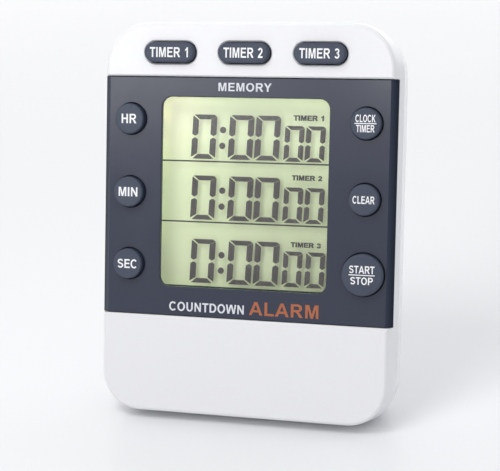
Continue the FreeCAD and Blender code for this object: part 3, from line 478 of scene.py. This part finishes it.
MATERIALS = {
    "case": moulded(
        "case_abs", (0.865, 0.865, 0.885), rough=0.17, orange=0.10, wave=0.012, dark=0.985,
        tint=(0.85, 0.853, 0.88), edge=(0.90, 0.90, 0.91), edge_radius=0.0004, dust=0.10),
    "door": moulded(
        "door_abs", (0.855, 0.855, 0.873), rough=0.27, orange=0.12, wave=0.012, dark=0.982,
        tint=(0.84, 0.84, 0.865), edge=(0.90, 0.90, 0.91), dust=0.10),
    "stand": moulded(
        "stand_abs", (0.86, 0.86, 0.878), rough=0.26, orange=0.12, wave=0.012, dark=0.982,
        tint=(0.845, 0.845, 0.87), edge=(0.91, 0.91, 0.92), dust=0.12),
    "key": moulded(
        "keycap", (0.046, 0.059, 0.095), rough=0.44, grain=0.10, grain_scale=5200.0, wave=0.006,
        tint=(0.049, 0.062, 0.098), edge=(0.07, 0.08, 0.105), edge_radius=0.0002, dust=0.08),
    "legend": ink("legend_ink", srgb(251, 251, 253)),
    "legend_orange": ink("legend_orange_ink", srgb(178, 101, 62), dark=0.92),
    "segment": segment_ink("lcd_segment", srgb(76, 71, 73)),
    "label": segment_ink("lcd_label", srgb(44, 42, 42)),
    "print": ink("panel_print_ink", srgb(226, 227, 235)),
    "lens": clear("lens_acrylic", (0.992, 0.995, 0.992), rough=0.03, reflect=0.9, haze=0.004),
    "polariser": clear(
        "polariser_film", (0.97, 0.972, 0.955), rough=0.18, reflect=0.30, haze=0.008),
    "lcd_glass": clear("lcd_glass", (0.992, 0.995, 0.99), rough=0.02, reflect=0.08),
    "foam": rubber("foam", (0.045, 0.045, 0.048), rough=0.9, grain=0.9),
    "silicone": rubber(
        "silicone_mat", (0.52, 0.53, 0.54), rough=0.42, grain=0.15, subsurface=0.15),
    "carbon": rubber("carbon_pill", (0.012, 0.012, 0.012), rough=0.7, grain=0.4),
    "epoxy": moulded("epoxy_blob", (0.012, 0.012, 0.014), rough=0.16, orange=0.2, dark=0.8),
    "can": metal("crystal_can", (0.62, 0.62, 0.63), rough=0.28, brushed=(1, 14, 14)),
    "coil": metal("coil", (0.10, 0.085, 0.08), rough=0.5),
    "capacitor": metal("capacitor_can", (0.70, 0.71, 0.73), rough=0.32, brushed=(12, 12, 1)),
    "brass": metal("brass", (0.72, 0.52, 0.22), rough=0.3, tarnish=(0.42, 0.28, 0.12)),
    "ceramic": moulded("ceramic", (0.74, 0.72, 0.66), rough=0.4, grain=0.1, dark=0.9),
    "nickel": metal(
        "nickel", (0.62, 0.60, 0.57), rough=0.2, tarnish=(0.48, 0.45, 0.40), dent=0.12),
    "spring": metal("spring_steel", (0.66, 0.65, 0.63), rough=0.22),
    "screw": metal(
        "zinc_screw", (0.55, 0.56, 0.58), rough=0.34, tarnish=(0.42, 0.40, 0.36), dent=0.35),
    "red": moulded("lead_red", (0.45, 0.02, 0.02), rough=0.38, orange=0.15, dark=0.85),
    "black": moulded("lead_black", (0.012, 0.012, 0.013), rough=0.4, orange=0.15, dark=0.8),
    "grey": moulded("lead_grey", (0.16, 0.16, 0.17), rough=0.4, orange=0.15, dark=0.85),
    "reflector": glowing_reflector_material(),
    "panel": panel_material(),
    "zebra": zebra_material(),
    "board": board_material(),
    "cell": cell_material(),
    "chip": chip_material(),
}

PIECE_MATERIAL = {
    "front_shell": "case", "rear_shell": "case", "battery_door": "door", "stand": "stand",
    "face_panel": "panel", "display_window": "lens", "lcd_front_polarizer": "polariser",
    "lcd_front_glass": "lcd_glass", "lcd_rear_glass": "lcd_glass", "lcd_reflector": "reflector",
    "lcd_foam_pad": "foam", "zebra_strip_top": "zebra", "zebra_strip_bottom": "zebra",
    "keypad_mat": "silicone", "main_board": "board", "chip_blob": "epoxy", "crystal": "can",
    "small_board_parts": "chip", "boost_coil": "coil", "capacitor": "capacitor",
    "buzzer_plate": "brass", "buzzer_ceramic": "ceramic", "magnet_left": "nickel",
    "magnet_right": "nickel", "battery_cell": "cell", "battery_minus_plate": "spring",
    "battery_minus_spring": "spring", "battery_plus_plate": "spring", "case_screws": "screw",
    "board_screws": "screw", "buzzer_leads": "grey", "battery_lead_red": "red",
    "battery_lead_black": "black",
}


def material_of(piece):
    if piece.startswith("key_"):
        return MATERIALS["key"]
    if piece.startswith("contact_pill_"):
        return MATERIALS["carbon"]
    return MATERIALS[PIECE_MATERIAL[piece]]


for name, piece in pieces.items():
    slots = piece.data.materials
    if not slots:
        slots.append(material_of(name))
    for index in range(len(slots)):
        slots[index] = material_of(name)

# ---------------------------------------------------------------- thin solids
BODY_OF = {name: body
           for body, names in frame["record"]["behaviour"]["bodies"].items() for name in names}


def mesh_piece(name, bm, material, body):
    """Turns a bmesh into an object that rides on a body."""
    bmesh.ops.recalc_face_normals(bm, faces=bm.faces)
    mesh = bpy.data.meshes.new(name)
    bm.to_mesh(mesh)
    bm.free()
    piece = bpy.data.objects.new(name, mesh)
    scene.collection.objects.link(piece)
    mesh.materials.append(MATERIALS[material])
    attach(piece, body)


def add_prism(bm, outline, z, half):
    """Adds a closed prism over an outline in the case frame, from z - half to z + half."""
    low = [bm.verts.new(place(x, y, z - half)) for x, y in outline]
    high = [bm.verts.new(place(x, y, z + half)) for x, y in outline]
    bm.faces.new(high)
    bm.faces.new(list(reversed(low)))
    for i in range(len(outline)):
        j = (i + 1) % len(outline)
        bm.faces.new((low[i], low[j], high[j], high[i]))


def rectangle(x0, x1, y0, y1):
    return [(x0, y0), (x1, y0), (x1, y1), (x0, y1)]


def rounded(outline, radius, steps=3):
    """The outline with each corner replaced by a small curve."""
    result = []
    for i, point in enumerate(outline):
        corner = Vector(point)
        to_last = Vector(outline[i - 1]) - corner
        to_next = Vector(outline[(i + 1) % len(outline)]) - corner
        start = corner + to_last.normalized() * min(radius, to_last.length * 0.45)
        end = corner + to_next.normalized() * min(radius, to_next.length * 0.45)
        for step in range(steps + 1):
            t = step / steps
            spot = start * (1 - t) ** 2 + corner * 2 * t * (1 - t) + end * t ** 2
            result.append((spot.x, spot.y))
    return result


# ---------------------------------------------------------------- lettering
def arc(centre, radii, angles, steps):
    """Points along an ellipse between two angles in degrees."""
    points = []
    for i in range(steps + 1):
        angle = math.radians(angles[0] + (angles[1] - angles[0]) * i / steps)
        points.append((centre[0] + radii[0] * math.cos(angle),
                       centre[1] + radii[1] * math.sin(angle)))
    return points


def ribbon(path, upright, level):
    """Outline of a stroke, upright wide where the path runs upright and level where it's level."""
    left, right = [], []
    for i, (x, y) in enumerate(path):
        before, after = path[max(i - 1, 0)], path[min(i + 1, len(path) - 1)]
        dx, dy = after[0] - before[0], after[1] - before[1]
        length = math.hypot(dx, dy)
        dx, dy = dx / length, dy / length
        half = 0.5 * math.sqrt((upright * dy) ** 2 + (level * dx) ** 2)
        left.append((x - dy * half, y + dx * half))
        right.append((x + dy * half, y - dx * half))
    return left + right[::-1]


def bowl(x0, x1, y0, y1, radius, steps=8):
    """A box with both right-hand corners rounded."""
    return ([(x0, y0)]
            + arc((x1 - radius, y0 + radius), (radius, radius), (-90, 0), steps)
            + arc((x1 - radius, y1 - radius), (radius, radius), (0, 90), steps)
            + [(x0, y1)])


def make_glyphs():
    """Plain capitals and figures on a cap height of 1: (advance, [closed outlines]).

    A second outline is a hole."""
    stem, bar = 0.205, 0.170      # widths of upright and level strokes
    thin = 0.185                  # stems of M and N
    left, right = 0.10, 0.91      # outer sides of the stems
    inner = left + stem
    top = 1 - bar                 # underside of a top bar
    slim = stem * 0.95            # stroke of S, 1 and 3
    t_left, t_right = 0.425 - stem / 2, 0.425 + stem / 2
    y_left, y_right = 0.465 - stem / 2, 0.465 + stem / 2
    e_mid = 0.44 + bar * 0.95
    letter_s = (arc((0.465, 0.705), (0.305, 0.215), (22, 205), 14)[:-1]
                + [(0.235, 0.585), (0.36, 0.535), (0.50, 0.505), (0.64, 0.465), (0.745, 0.395)]
                + arc((0.465, 0.287), (0.315, 0.207), (15, -160), 14))
    three = (arc((0.365, 0.735), (0.225, 0.19), (165, -88), 14)
             + arc((0.365, 0.285), (0.25, 0.215), (84, -165), 14))
    return {
        " ": (0.54, []),
        "I": (0.39, [rectangle(0.09, 0.09 + stem, 0, 1)]),
        "L": (0.84, [[(left, 0), (0.80, 0), (0.80, bar), (inner, bar), (inner, 1), (left, 1)]]),
        "T": (0.85, [[(t_left, 0), (t_right, 0), (t_right, top), (0.82, top), (0.82, 1),
                      (0.03, 1), (0.03, top), (t_left, top)]]),
        "E": (0.93, [[(left, 0), (0.87, 0), (0.87, bar), (inner, bar), (inner, 0.44),
                      (0.80, 0.44), (0.80, e_mid), (inner, e_mid), (inner, top), (0.85, top),
                      (0.85, 1), (left, 1)]]),
        "H": (1.01, [[(left, 0), (inner, 0), (inner, 0.42), (right - stem, 0.42),
                      (right - stem, 0), (right, 0), (right, 1), (right - stem, 1),
                      (right - stem, 0.42 + bar), (inner, 0.42 + bar), (inner, 1), (left, 1)]]),
        "M": (1.16, [[(left, 0), (left + thin, 0), (left + thin, 0.76), (0.58 - 0.095, 0),
                      (0.58 + 0.095, 0), (1.06 - thin, 0.76), (1.06 - thin, 0), (1.06, 0),
                      (1.06, 1), (1.06 - 0.285, 1), (0.58, 0.30), (left + 0.285, 1),
                      (left, 1)]]),
        "N": (1.01, [[(left, 0), (left + thin, 0), (left + thin, 0.66),
                      (right - thin - 0.01, 0), (right, 0), (right, 1), (right - thin, 1),
                      (right - thin, 0.34), (left + thin + 0.01, 1), (left, 1)]]),
        "A": (1.01, [[(0.0, 0), (0.215, 0), (0.295, 0.225), (0.715, 0.225), (0.795, 0),
                      (1.01, 0), (0.615, 1), (0.395, 1)],
                     [(0.358, 0.395), (0.505, 0.79), (0.652, 0.395)]]),
        "K": (1.01, [[(left, 0), (inner, 0), (inner, 0.31), (0.41, 0.43), (0.74, 0), (1.01, 0),
                      (0.555, 0.585), (0.97, 1), (0.70, 1), (inner, 0.575), (inner, 1),
                      (left, 1)]]),
        "W": (1.32, [[(0.22, 0), (0.44, 0), (0.66, 0.74), (0.88, 0), (1.10, 0), (1.31, 1),
                      (1.10, 1), (0.985, 0.32), (0.79, 1), (0.53, 1), (0.335, 0.32),
                      (0.22, 1), (0.01, 1)]]),
        "Y": (0.93, [[(y_left, 0), (y_right, 0), (y_right, 0.42), (0.93, 1), (0.69, 1),
                      (0.465, 0.62), (0.24, 1), (0.0, 1), (y_left, 0.42)]]),
        "O": (1.09, [arc((0.545, 0.5), (0.485, 0.515), (0, 360), 40)[:-1],
                     arc((0.545, 0.5), (0.485 - stem * 1.02, 0.515 - bar), (360, 0), 40)[:-1]]),
        "D": (1.01, [bowl(left, 0.95, 0, 1, 0.46, 10),
                     bowl(inner, 0.95 - stem, bar, top, 0.30, 10)[::-1]]),
        "U": (1.01, [[(left, 1)] + arc((0.505, 0.385), (0.405, 0.40), (180, 360), 18)
                     + [(right, 1), (right - stem, 1)]
                     + arc((0.505, 0.385), (0.405 - stem, 0.40 - bar), (360, 180), 18)
                     + [(inner, 1)]]),
        "P": (0.93, [[(left, 0), (inner, 0), (inner, 0.375)]
                     + bowl(0.20, 0.89, 0.375, 1, 0.305)[1:-1] + [(left, 1)],
                     bowl(inner, 0.89 - stem, 0.375 + bar, top, 0.14)[::-1]]),
        "R": (1.01, [[(left, 0), (inner, 0), (inner, 0.415), (0.40, 0.415), (0.52, 0.345),
                      (0.735, 0), (0.985, 0), (0.80, 0.30), (0.675, 0.425)]
                     + arc((0.625, 0.71), (0.295, 0.29), (-72, 90), 14) + [(left, 1)],
                     bowl(inner, 0.92 - stem, 0.415 + bar * 0.93, top, 0.125)[::-1]]),
        "C": (1.01, [ribbon(arc((0.525, 0.5), (0.385, 0.43), (42, 318), 30), stem, bar)]),
        "S": (0.93, [ribbon(letter_s, slim, bar)]),
        "1": (0.72, [[(0.33, 0), (0.33 + slim, 0), (0.33 + slim, 1), (0.375, 1), (0.27, 0.87),
                      (0.11, 0.77), (0.11, 0.61), (0.33, 0.73)]]),
        "2": (0.76, [arc((0.38, 0.70), (0.32, 0.30), (172, -28), 16)
                     + [(0.53, 0.375), (0.33, 0.175), (0.71, 0.175), (0.71, 0.0), (0.04, 0.0),
                        (0.06, 0.10), (0.13, 0.23), (0.26, 0.365), (0.41, 0.515)]
                     + arc((0.38, 0.70), (0.125, 0.135), (-34, 172), 12)]),
        "3": (0.76, [ribbon(three, slim, bar * 0.95)]),
    }


GLYPHS = make_glyphs()


def text_solid(text, bold, spacing):
    """Lettering as a closed solid, 1 thick on a cap height of 1."""
    curve = bpy.data.curves.new("t", "CURVE")
    curve.dimensions = "2D"
    curve.fill_mode = "BOTH"
    curve.extrude = 0.5
    curve.offset = bold
    pen = 0.0
    for letter in text:
        advance, outlines = GLYPHS[letter]
        for outline in outlines:
            spline = curve.splines.new("POLY")
            spline.points.add(len(outline) - 1)
            for point, (x, y) in zip(spline.points, outline):
                point.co = (pen + x, y, 0, 1)
            spline.use_cyclic_u = True
        pen += advance * spacing + (spacing - 1.0) * 0.1
    holder = bpy.data.objects.new("t", curve)
    scene.collection.objects.link(holder)
    depsgraph = bpy.context.evaluated_depsgraph_get()
    mesh = bpy.data.meshes.new_from_object(holder.evaluated_get(depsgraph))
    bpy.data.objects.remove(holder)
    bpy.data.curves.remove(curve)
    bm = bmesh.new()
    bm.from_mesh(mesh)
    bpy.data.meshes.remove(mesh)
    bmesh.ops.remove_doubles(bm, verts=bm.verts, dist=1e-5)
    return bm


def legend(name, text, box, z, body="case", material="legend", bold=0.0, thick=0.03,
           spacing=1.0):
    """Lettering that fills box (x0, x1, y0, y1), with its mid-thickness at z."""
    x0, x1, y0, y1 = box
    bm = text_solid(text, bold, spacing)
    xs = [v.co.x for v in bm.verts]
    ys = [v.co.y for v in bm.verts]
    left, right, low, high = min(xs), max(xs), min(ys), max(ys)
    for v in bm.verts:
        x = x0 + (v.co.x - left) / (right - left) * (x1 - x0)
        y = y0 + (v.co.y - low) / (high - low) * (y1 - y0)
        v.co = place(x, y, z + v.co.z * thick)
    mesh_piece(name, bm, material, body)


# ---------------------------------------------------------------- display
LCD_X0, LCD_X1, _, _, LCD_Z, _ = face_box("lcd_front_glass")   # digits lie on the glass's back
FILM = 0.012                      # half the thickness of the display's layers
SLANT = 0.050                     # x gained per unit of height in a digit
BIG = (5.52, 9.55, 1.36, 1.02)    # digit width, height, upright stroke, level stroke
SMALL = (4.28, 7.62, 1.14, 0.86)
SEGMENT_GAP, SEGMENT_ROUNDING = 0.19, 0.12
DOT_RADIUS, DOT_POINTS = 0.70, 28
RULE_HALF, RULE_INSET = 0.16, 0.4
RULE_YS = (7.67, -5.51)

# Big digits' foot, their left sides; small digits' foot, their left sides; colon dots; label box.
ROWS = [
    (8.22, (-13.80, -5.40, 0.53), 8.12, (7.10, 11.77),
     ((-6.53, 14.52), (-6.65, 11.12)), (9.20, 15.90, 16.87, 18.02)),
    (-4.98, (-13.75, -5.33, 0.60), -4.98, (7.13, 11.83),
     ((-6.45, 1.45), (-6.55, -2.01)), (9.10, 15.80, 4.17, 5.27)),
    (-18.78, (-13.67, -5.17, 0.83), -18.68, (7.29, 12.31),
     ((-6.35, -12.55), (-6.45, -15.93)), (9.17, 15.85, -10.12, -9.04)),
]


def add_zero(bm, left, foot, width, height, upright, level):
    """Adds the six outer segments of a seven-segment digit, which read 0."""
    middle = height / 2
    tip, inset = SEGMENT_GAP * 1.1, SEGMENT_GAP * 0.9
    half = upright * 0.5
    shoulder = SEGMENT_GAP + half * 0.55      # from mid-height to the end of a segment's side
    point = SEGMENT_GAP * 0.8                 # from mid-height to its pointed end
    right = width - upright                   # inner side of the right-hand segments
    side_foot, side_head = tip + 0.12 * level, height - 0.5 * level - 0.04
    segments = [
        # top
        [(tip, height), (width - half, height), (width, height - 0.5 * level),
         (right, height - level), (upright + inset, height - level)],
        # upper left
        [(0, height - tip), (upright, height - level - inset), (upright, middle + shoulder),
         (half, middle + point), (0, middle + shoulder)],
        # upper right
        [(width, side_head), (width, middle + shoulder), (width - half, middle + point),
         (right, middle + shoulder), (right, height - level - 0.04)],
        # lower left
        [(0, middle - shoulder), (half, middle - point), (upright, middle - shoulder),
         (upright, level + inset), (0.0, side_foot)],
        # lower right
        [(width, side_foot), (right, level + inset), (right, middle - shoulder),
         (width - half, middle - point), (width, middle - shoulder)],
        # bottom
        [(tip + 0.12 * upright, 0), (upright + inset, level), (right - inset, level),
         (width - tip - 0.12 * upright, 0)],
    ]
    for segment in segments:
        outline = [(left + x + y * SLANT, foot + y) for x, y in rounded(segment, SEGMENT_ROUNDING)]
        add_prism(bm, outline, LCD_Z, FILM)


def add_dot(bm, centre_x, centre_y):
    angles = [math.tau * i / DOT_POINTS for i in range(DOT_POINTS)]
    outline = [(centre_x + DOT_RADIUS * math.cos(angle), centre_y + DOT_RADIUS * math.sin(angle))
               for angle in angles]
    add_prism(bm, outline, LCD_Z, FILM)


def build_display():
    digits, rules = bmesh.new(), bmesh.new()
    for big_foot, big_xs, small_foot, small_xs, dots, _ in ROWS:
        for x in big_xs:
            add_zero(digits, x, big_foot, *BIG)
        for x in small_xs:
            add_zero(digits, x, small_foot, *SMALL)
        for x, y in dots:
            add_dot(digits, x, y)
    for y in RULE_YS:
        line = rectangle(LCD_X0 + RULE_INSET, LCD_X1 - RULE_INSET, y - RULE_HALF, y + RULE_HALF)
        add_prism(rules, line, LCD_Z, FILM)
    mesh_piece("lcd_digits", digits, "segment", "case")
    mesh_piece("lcd_rules", rules, "label", "case")
    for number, row in enumerate(ROWS, 1):
        legend("lcd_label_%d" % number, "TIMER %d" % number, row[-1], LCD_Z, material="label",
               bold=0.045, thick=2 * FILM)


build_display()

# ---------------------------------------------------------------- print on the panel
PRINT_THICK = 0.024
# name, text, box, material, letter spacing
PANEL_PRINT = [
    ("print_memory", "MEMORY", (-6.42, 5.40, 22.80, 24.62), "print", 1.03),
    ("print_title_white", "COUNTDOWN", (-16.78, 0.21, -24.72, -22.70), "print", 1.02),
    ("print_title_orange", "ALARM", (1.35, 16.70, -24.70, -21.85), "legend_orange", 1.04),
]
for name, text, box, material, spacing in PANEL_PRINT:
    legend(name, text, box, PRINT_THICK / 2, material=material, thick=PRINT_THICK,
           spacing=spacing)

# ---------------------------------------------------------------- print on the keys
LEGEND_LIFT = 0.004               # middle of the ink above the key top
KEY_RULE_HALF, KEY_RULE_ROUNDING = 0.012, 0.06
# key: words as (text, width, height, y from the key's middle), and the rule's (width, height)
KEY_PRINT = {
    "hour": ([("HR", 3.45, 2.05, 0.0)], None),
    "minute": ([("MIN", 4.35, 2.0, 0.0)], None),
    "second": ([("SEC", 4.4, 2.0, 0.0)], None),
    "clock_timer": ([("CLOCK", 4.3, 1.6, 1.05), ("TIMER", 3.9, 1.5, -1.05)], (4.7, 0.2)),
    "clear": ([("CLEAR", 4.7, 1.65, 0.0)], None),
    "start_stop": ([("START", 5.4, 1.6, 1.15), ("STOP", 4.8, 1.6, -1.2)], (5.6, 0.2)),
    "timer_1": ([("TIMER 1", 8.65, 2.12, 0.0)], None),
    "timer_2": ([("TIMER 2", 8.65, 2.12, 0.0)], None),
    "timer_3": ([("TIMER 3", 8.65, 2.12, 0.0)], None),
}


def centred_box(x, y, width, height):
    return x - width / 2, x + width / 2, y - height / 2, y + height / 2


def print_key(key, words, rule):
    x0, x1, y0, y1, _, top = face_box("key_" + key)
    x, y, z = (x0 + x1) / 2, (y0 + y1) / 2, top + LEGEND_LIFT
    body = BODY_OF["key_" + key]
    for i, (text, width, height, rise) in enumerate(words):
        legend("legend_%s_%d" % (key, i), text, centred_box(x, y + rise, width, height), z, body)
    if rule:
        bm = bmesh.new()
        line = rounded(rectangle(*centred_box(x, y, *rule)), KEY_RULE_ROUNDING)
        add_prism(bm, line, z, KEY_RULE_HALF)
        mesh_piece("legend_%s_rule" % key, bm, "legend", body)


for key, (words, rule) in KEY_PRINT.items():
    print_key(key, words, rule)

# ---------------------------------------------------------------- keypad mat
MAT_CUT = -5.52                   # z that parts the base sheet from the domes
DOME_MARGIN = 1.0                 # how far a dome may reach outside its key


def mat_part(name, mesh_name, keep_below, near=None):
    """One side of the cut mat, closed at the cut; near keeps only what lies by a key's box."""
    bm = bmesh.new()
    bm.from_mesh(pieces["keypad_mat"].data)
    bmesh.ops.remove_doubles(bm, verts=bm.verts, dist=1e-7)
    bmesh.ops.bisect_plane(
        bm, geom=bm.verts[:] + bm.edges[:] + bm.faces[:], dist=1e-8,
        plane_co=place(0, 0, MAT_CUT), plane_no=FACE_Z,
        clear_outer=keep_below, clear_inner=not keep_below)
    if near:
        x0, x1, y0, y1 = near[:4]
        reach_x, reach_y = (x1 - x0) / 2 + DOME_MARGIN, (y1 - y0) / 2 + DOME_MARGIN
        far = [v for v in bm.verts
               if abs((v.co - ORIGIN).dot(FACE_X) / MM - (x0 + x1) / 2) > reach_x
               or abs((v.co - ORIGIN).dot(FACE_Y) / MM - (y0 + y1) / 2) > reach_y]
        bmesh.ops.delete(bm, geom=far, context="VERTS")
    rim = [e for e in bm.edges if len(e.link_faces) == 1]
    if rim:
        bmesh.ops.triangle_fill(bm, use_beauty=True, use_dissolve=False, edges=rim)
    bmesh.ops.recalc_face_normals(bm, faces=bm.faces)
    mesh = bpy.data.meshes.new(mesh_name)
    bm.to_mesh(mesh)
    bm.free()
    mesh.materials.append(MATERIALS["silicone"])
    part = bpy.data.objects.new(name, mesh)
    scene.collection.objects.link(part)
    return part


def build_mat():
    """A base sheet that rides on the case, and under each key the dome cut from the mat, left in place."""
    base = mat_part("mat_base", "mat_base", keep_below=True)
    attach(base, "case")
    for key in [name for name in pieces if name.startswith("key_")]:
        box = face_box(key)
        dome = mat_part("mat_dome_" + key[4:], "mat_" + key, keep_below=False, near=box)
        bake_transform(dome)
    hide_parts("keypad_mat")


build_mat()


# ---------------------------------------------------------------- bench
def bench_material():
    """A pale polished bench that fades into SKY with distance, for the camera only."""
    graph = material_graph("bench_top")
    depth = graph.node("SeparateXYZ", {0: graph.coord()}).outputs["Y"]
    drift = graph.ramp(graph.noise(scale=5.0))
    base = graph.mix(drift, (0.845, 0.855, 0.868), (0.86, 0.866, 0.876))
    backward = graph.ramp(depth, span=(0.0, 0.9), smooth=True)
    base = graph.mix(backward, base, (0.90, 0.902, 0.905))
    roughness = graph.ramp(graph.noise(scale=6.0, detail=2.0), to=(0.235, 0.25))
    polish = graph.principled(Base_Color=base, Roughness=roughness)
    away = graph.node("VectorMath", {0: graph.coord()}, operation="LENGTH").outputs["Value"]
    fade = graph.ramp(away, span=(0.55, 2.2), smooth=True)
    camera_ray = graph.node("LightPath").outputs["Is Camera Ray"]
    sweep = graph.node("Emission", {"Color": SKY})
    return graph.finish(graph.mix_shader(graph.times(fade, camera_ray), polish, sweep))


def build_floor(half_size=4.0, z=-0.00002):
    mesh = bpy.data.meshes.new("floor")
    corners = [(x, y, z) for x, y in rectangle(-half_size, half_size, -half_size, half_size)]
    mesh.from_pydata(corners, [], [(0, 1, 2, 3)])
    mesh.materials.append(bench_material())
    floor = bpy.data.objects.new("floor", mesh)
    scene.collection.objects.link(floor)


build_floor()


# ---------------------------------------------------------------- surroundings
# Azimuth 0 is straight in front of the face (-Y), positive to the right. Angles are in degrees.
def build_world():
    world = bpy.data.worlds.new("studio")
    scene.world = world
    sky = ShaderGraph(world, "OutputWorld")
    direction = sky.node("TexCoord").outputs["Generated"]
    x, y, z = sky.node("SeparateXYZ", {0: direction}).outputs
    azimuth = sky.math("ARCTAN2", x, sky.times(y, -1.0))
    elevation = sky.math("ARCSINE", z)

    def soft(value, span, to=(0.0, 1.0)):
        return sky.ramp(value, span, to, smooth=True)

    def soft_angle(value, start, end, to=(0.0, 1.0)):
        return soft(value, (math.radians(start), math.radians(end)), to)

    def window(left, right, bottom, top, power):
        """A rectangular lamp; each side is (where it fades out, where it is full)."""
        lamp = soft_angle(elevation, *bottom, to=(0.0, power))
        lamp = sky.times(lamp, soft_angle(elevation, top[1], top[0], to=(1.0, 0.0)))
        lamp = sky.times(lamp, soft_angle(azimuth, right[1], right[0], to=(1.0, 0.0)))
        return sky.times(lamp, soft_angle(azimuth, *left))

    def patch(around, above, outer, inner, power):
        """A round lamp, full within the angle inner and gone beyond outer."""
        around, above = math.radians(around), math.radians(above)
        aim = (math.sin(around) * math.cos(above), -math.cos(around) * math.cos(above),
               math.sin(above))
        span = (math.cos(math.radians(outer)), math.cos(math.radians(inner)))
        return soft(sky.dot(direction, aim), span, to=(0.0, power))

    parts = [
        # extra light behind the case, weaker overhead
        sky.times(soft(y, span=(-0.1, 0.7), to=(0.0, 1.05)),
                  soft(z, span=(0.22, 0.62), to=(1.0, 0.30))),
        # low band at the sides and behind
        sky.times(soft(z, span=(0.05, 0.26), to=(0.45, 0.0)), soft(y, span=(-0.45, 0.15))),
        # extra light at the right
        soft(x, span=(0.0, 0.9), to=(0.0, 0.17)),
        # large lamp up and to the left of the face
        window(left=(-44, -34), right=(-11, -26), bottom=(10.5, 15.0), top=(32, 24), power=3.9),
        # small lamp nearer the middle
        window(left=(-14.5, -13), right=(-8, -9.5), bottom=(13.5, 15.0), top=(18.5, 17),
               power=4.0),
        # low glow in front of the face
        patch(around=-24, above=2, outer=38, inner=14, power=0.68),
    ]
    level = soft(z, span=(0.0, 1.0), to=(0.14, 0.78))     # horizon to overhead
    for part in parts:
        level = sky.add(level, part)
    tint = sky.mix(soft(x, span=(-0.6, 0.8)), (1.0, 0.992, 1.0), (0.955, 0.975, 1.0))
    lit = sky.node("Background", {"Color": tint, "Strength": level})
    plain = sky.node("Background", {"Color": SKY})
    camera_ray = sky.node("LightPath").outputs["Is Camera Ray"]
    sky.finish(sky.mix_shader(camera_ray, lit, plain))


build_world()

# ---------------------------------------------------------------- lamp and camera
LAMP_AT = (-70, 215, 200)         # case frame
LAMP_DIAMETER, LAMP_WATTS = 0.16, 0.33
CAMERA_AT = (102.37, 18.46, 324.02)           # case frame, as are the two directions below
CAMERA_RIGHT = (0.954, 0.0198, -0.2993)
CAMERA_BACK = (0.297, 0.0768, 0.9518)
SENSOR_WIDTH, FOCAL_LENGTH = 36.0, 115.2      # millimetres


def build_lamp():
    light = bpy.data.lights.new("near_lamp", "AREA")
    light.shape = "DISK"
    light.size = LAMP_DIAMETER
    light.energy = LAMP_WATTS
    lamp = bpy.data.objects.new("near_lamp", light)
    scene.collection.objects.link(lamp)
    lamp.location = place(*LAMP_AT)
    lamp.rotation_mode = "QUATERNION"
    lamp.rotation_quaternion = (ORIGIN - lamp.location).to_track_quat("-Z", "Y")
    lamp.visible_glossy = False


def face_direction(x, y, z):
    return (FACE_X * x + FACE_Y * y + FACE_Z * z).normalized()


def build_camera():
    camera = bpy.data.cameras.new("camera")
    holder = bpy.data.objects.new("camera", camera)
    scene.collection.objects.link(holder)
    back = face_direction(*CAMERA_BACK)
    right = face_direction(*CAMERA_RIGHT)
    right = (right - back * right.dot(back)).normalized()
    up = back.cross(right).normalized()
    pose = Matrix((right, up, back)).transposed().to_4x4()
    pose.translation = place(*CAMERA_AT)
    holder.matrix_world = pose
    camera.sensor_width = SENSOR_WIDTH
    camera.lens = FOCAL_LENGTH
    camera.clip_start = 0.01
    camera.clip_end = 20.0
    scene.camera = holder


build_lamp()
build_camera()
if hasattr(scene, "cycles"):
    scene.cycles.transparent_max_bounces = 40   # the display is many clear layers deep
scene.view_settings.view_transform = "Standard"
scene.view_settings.look = "None"
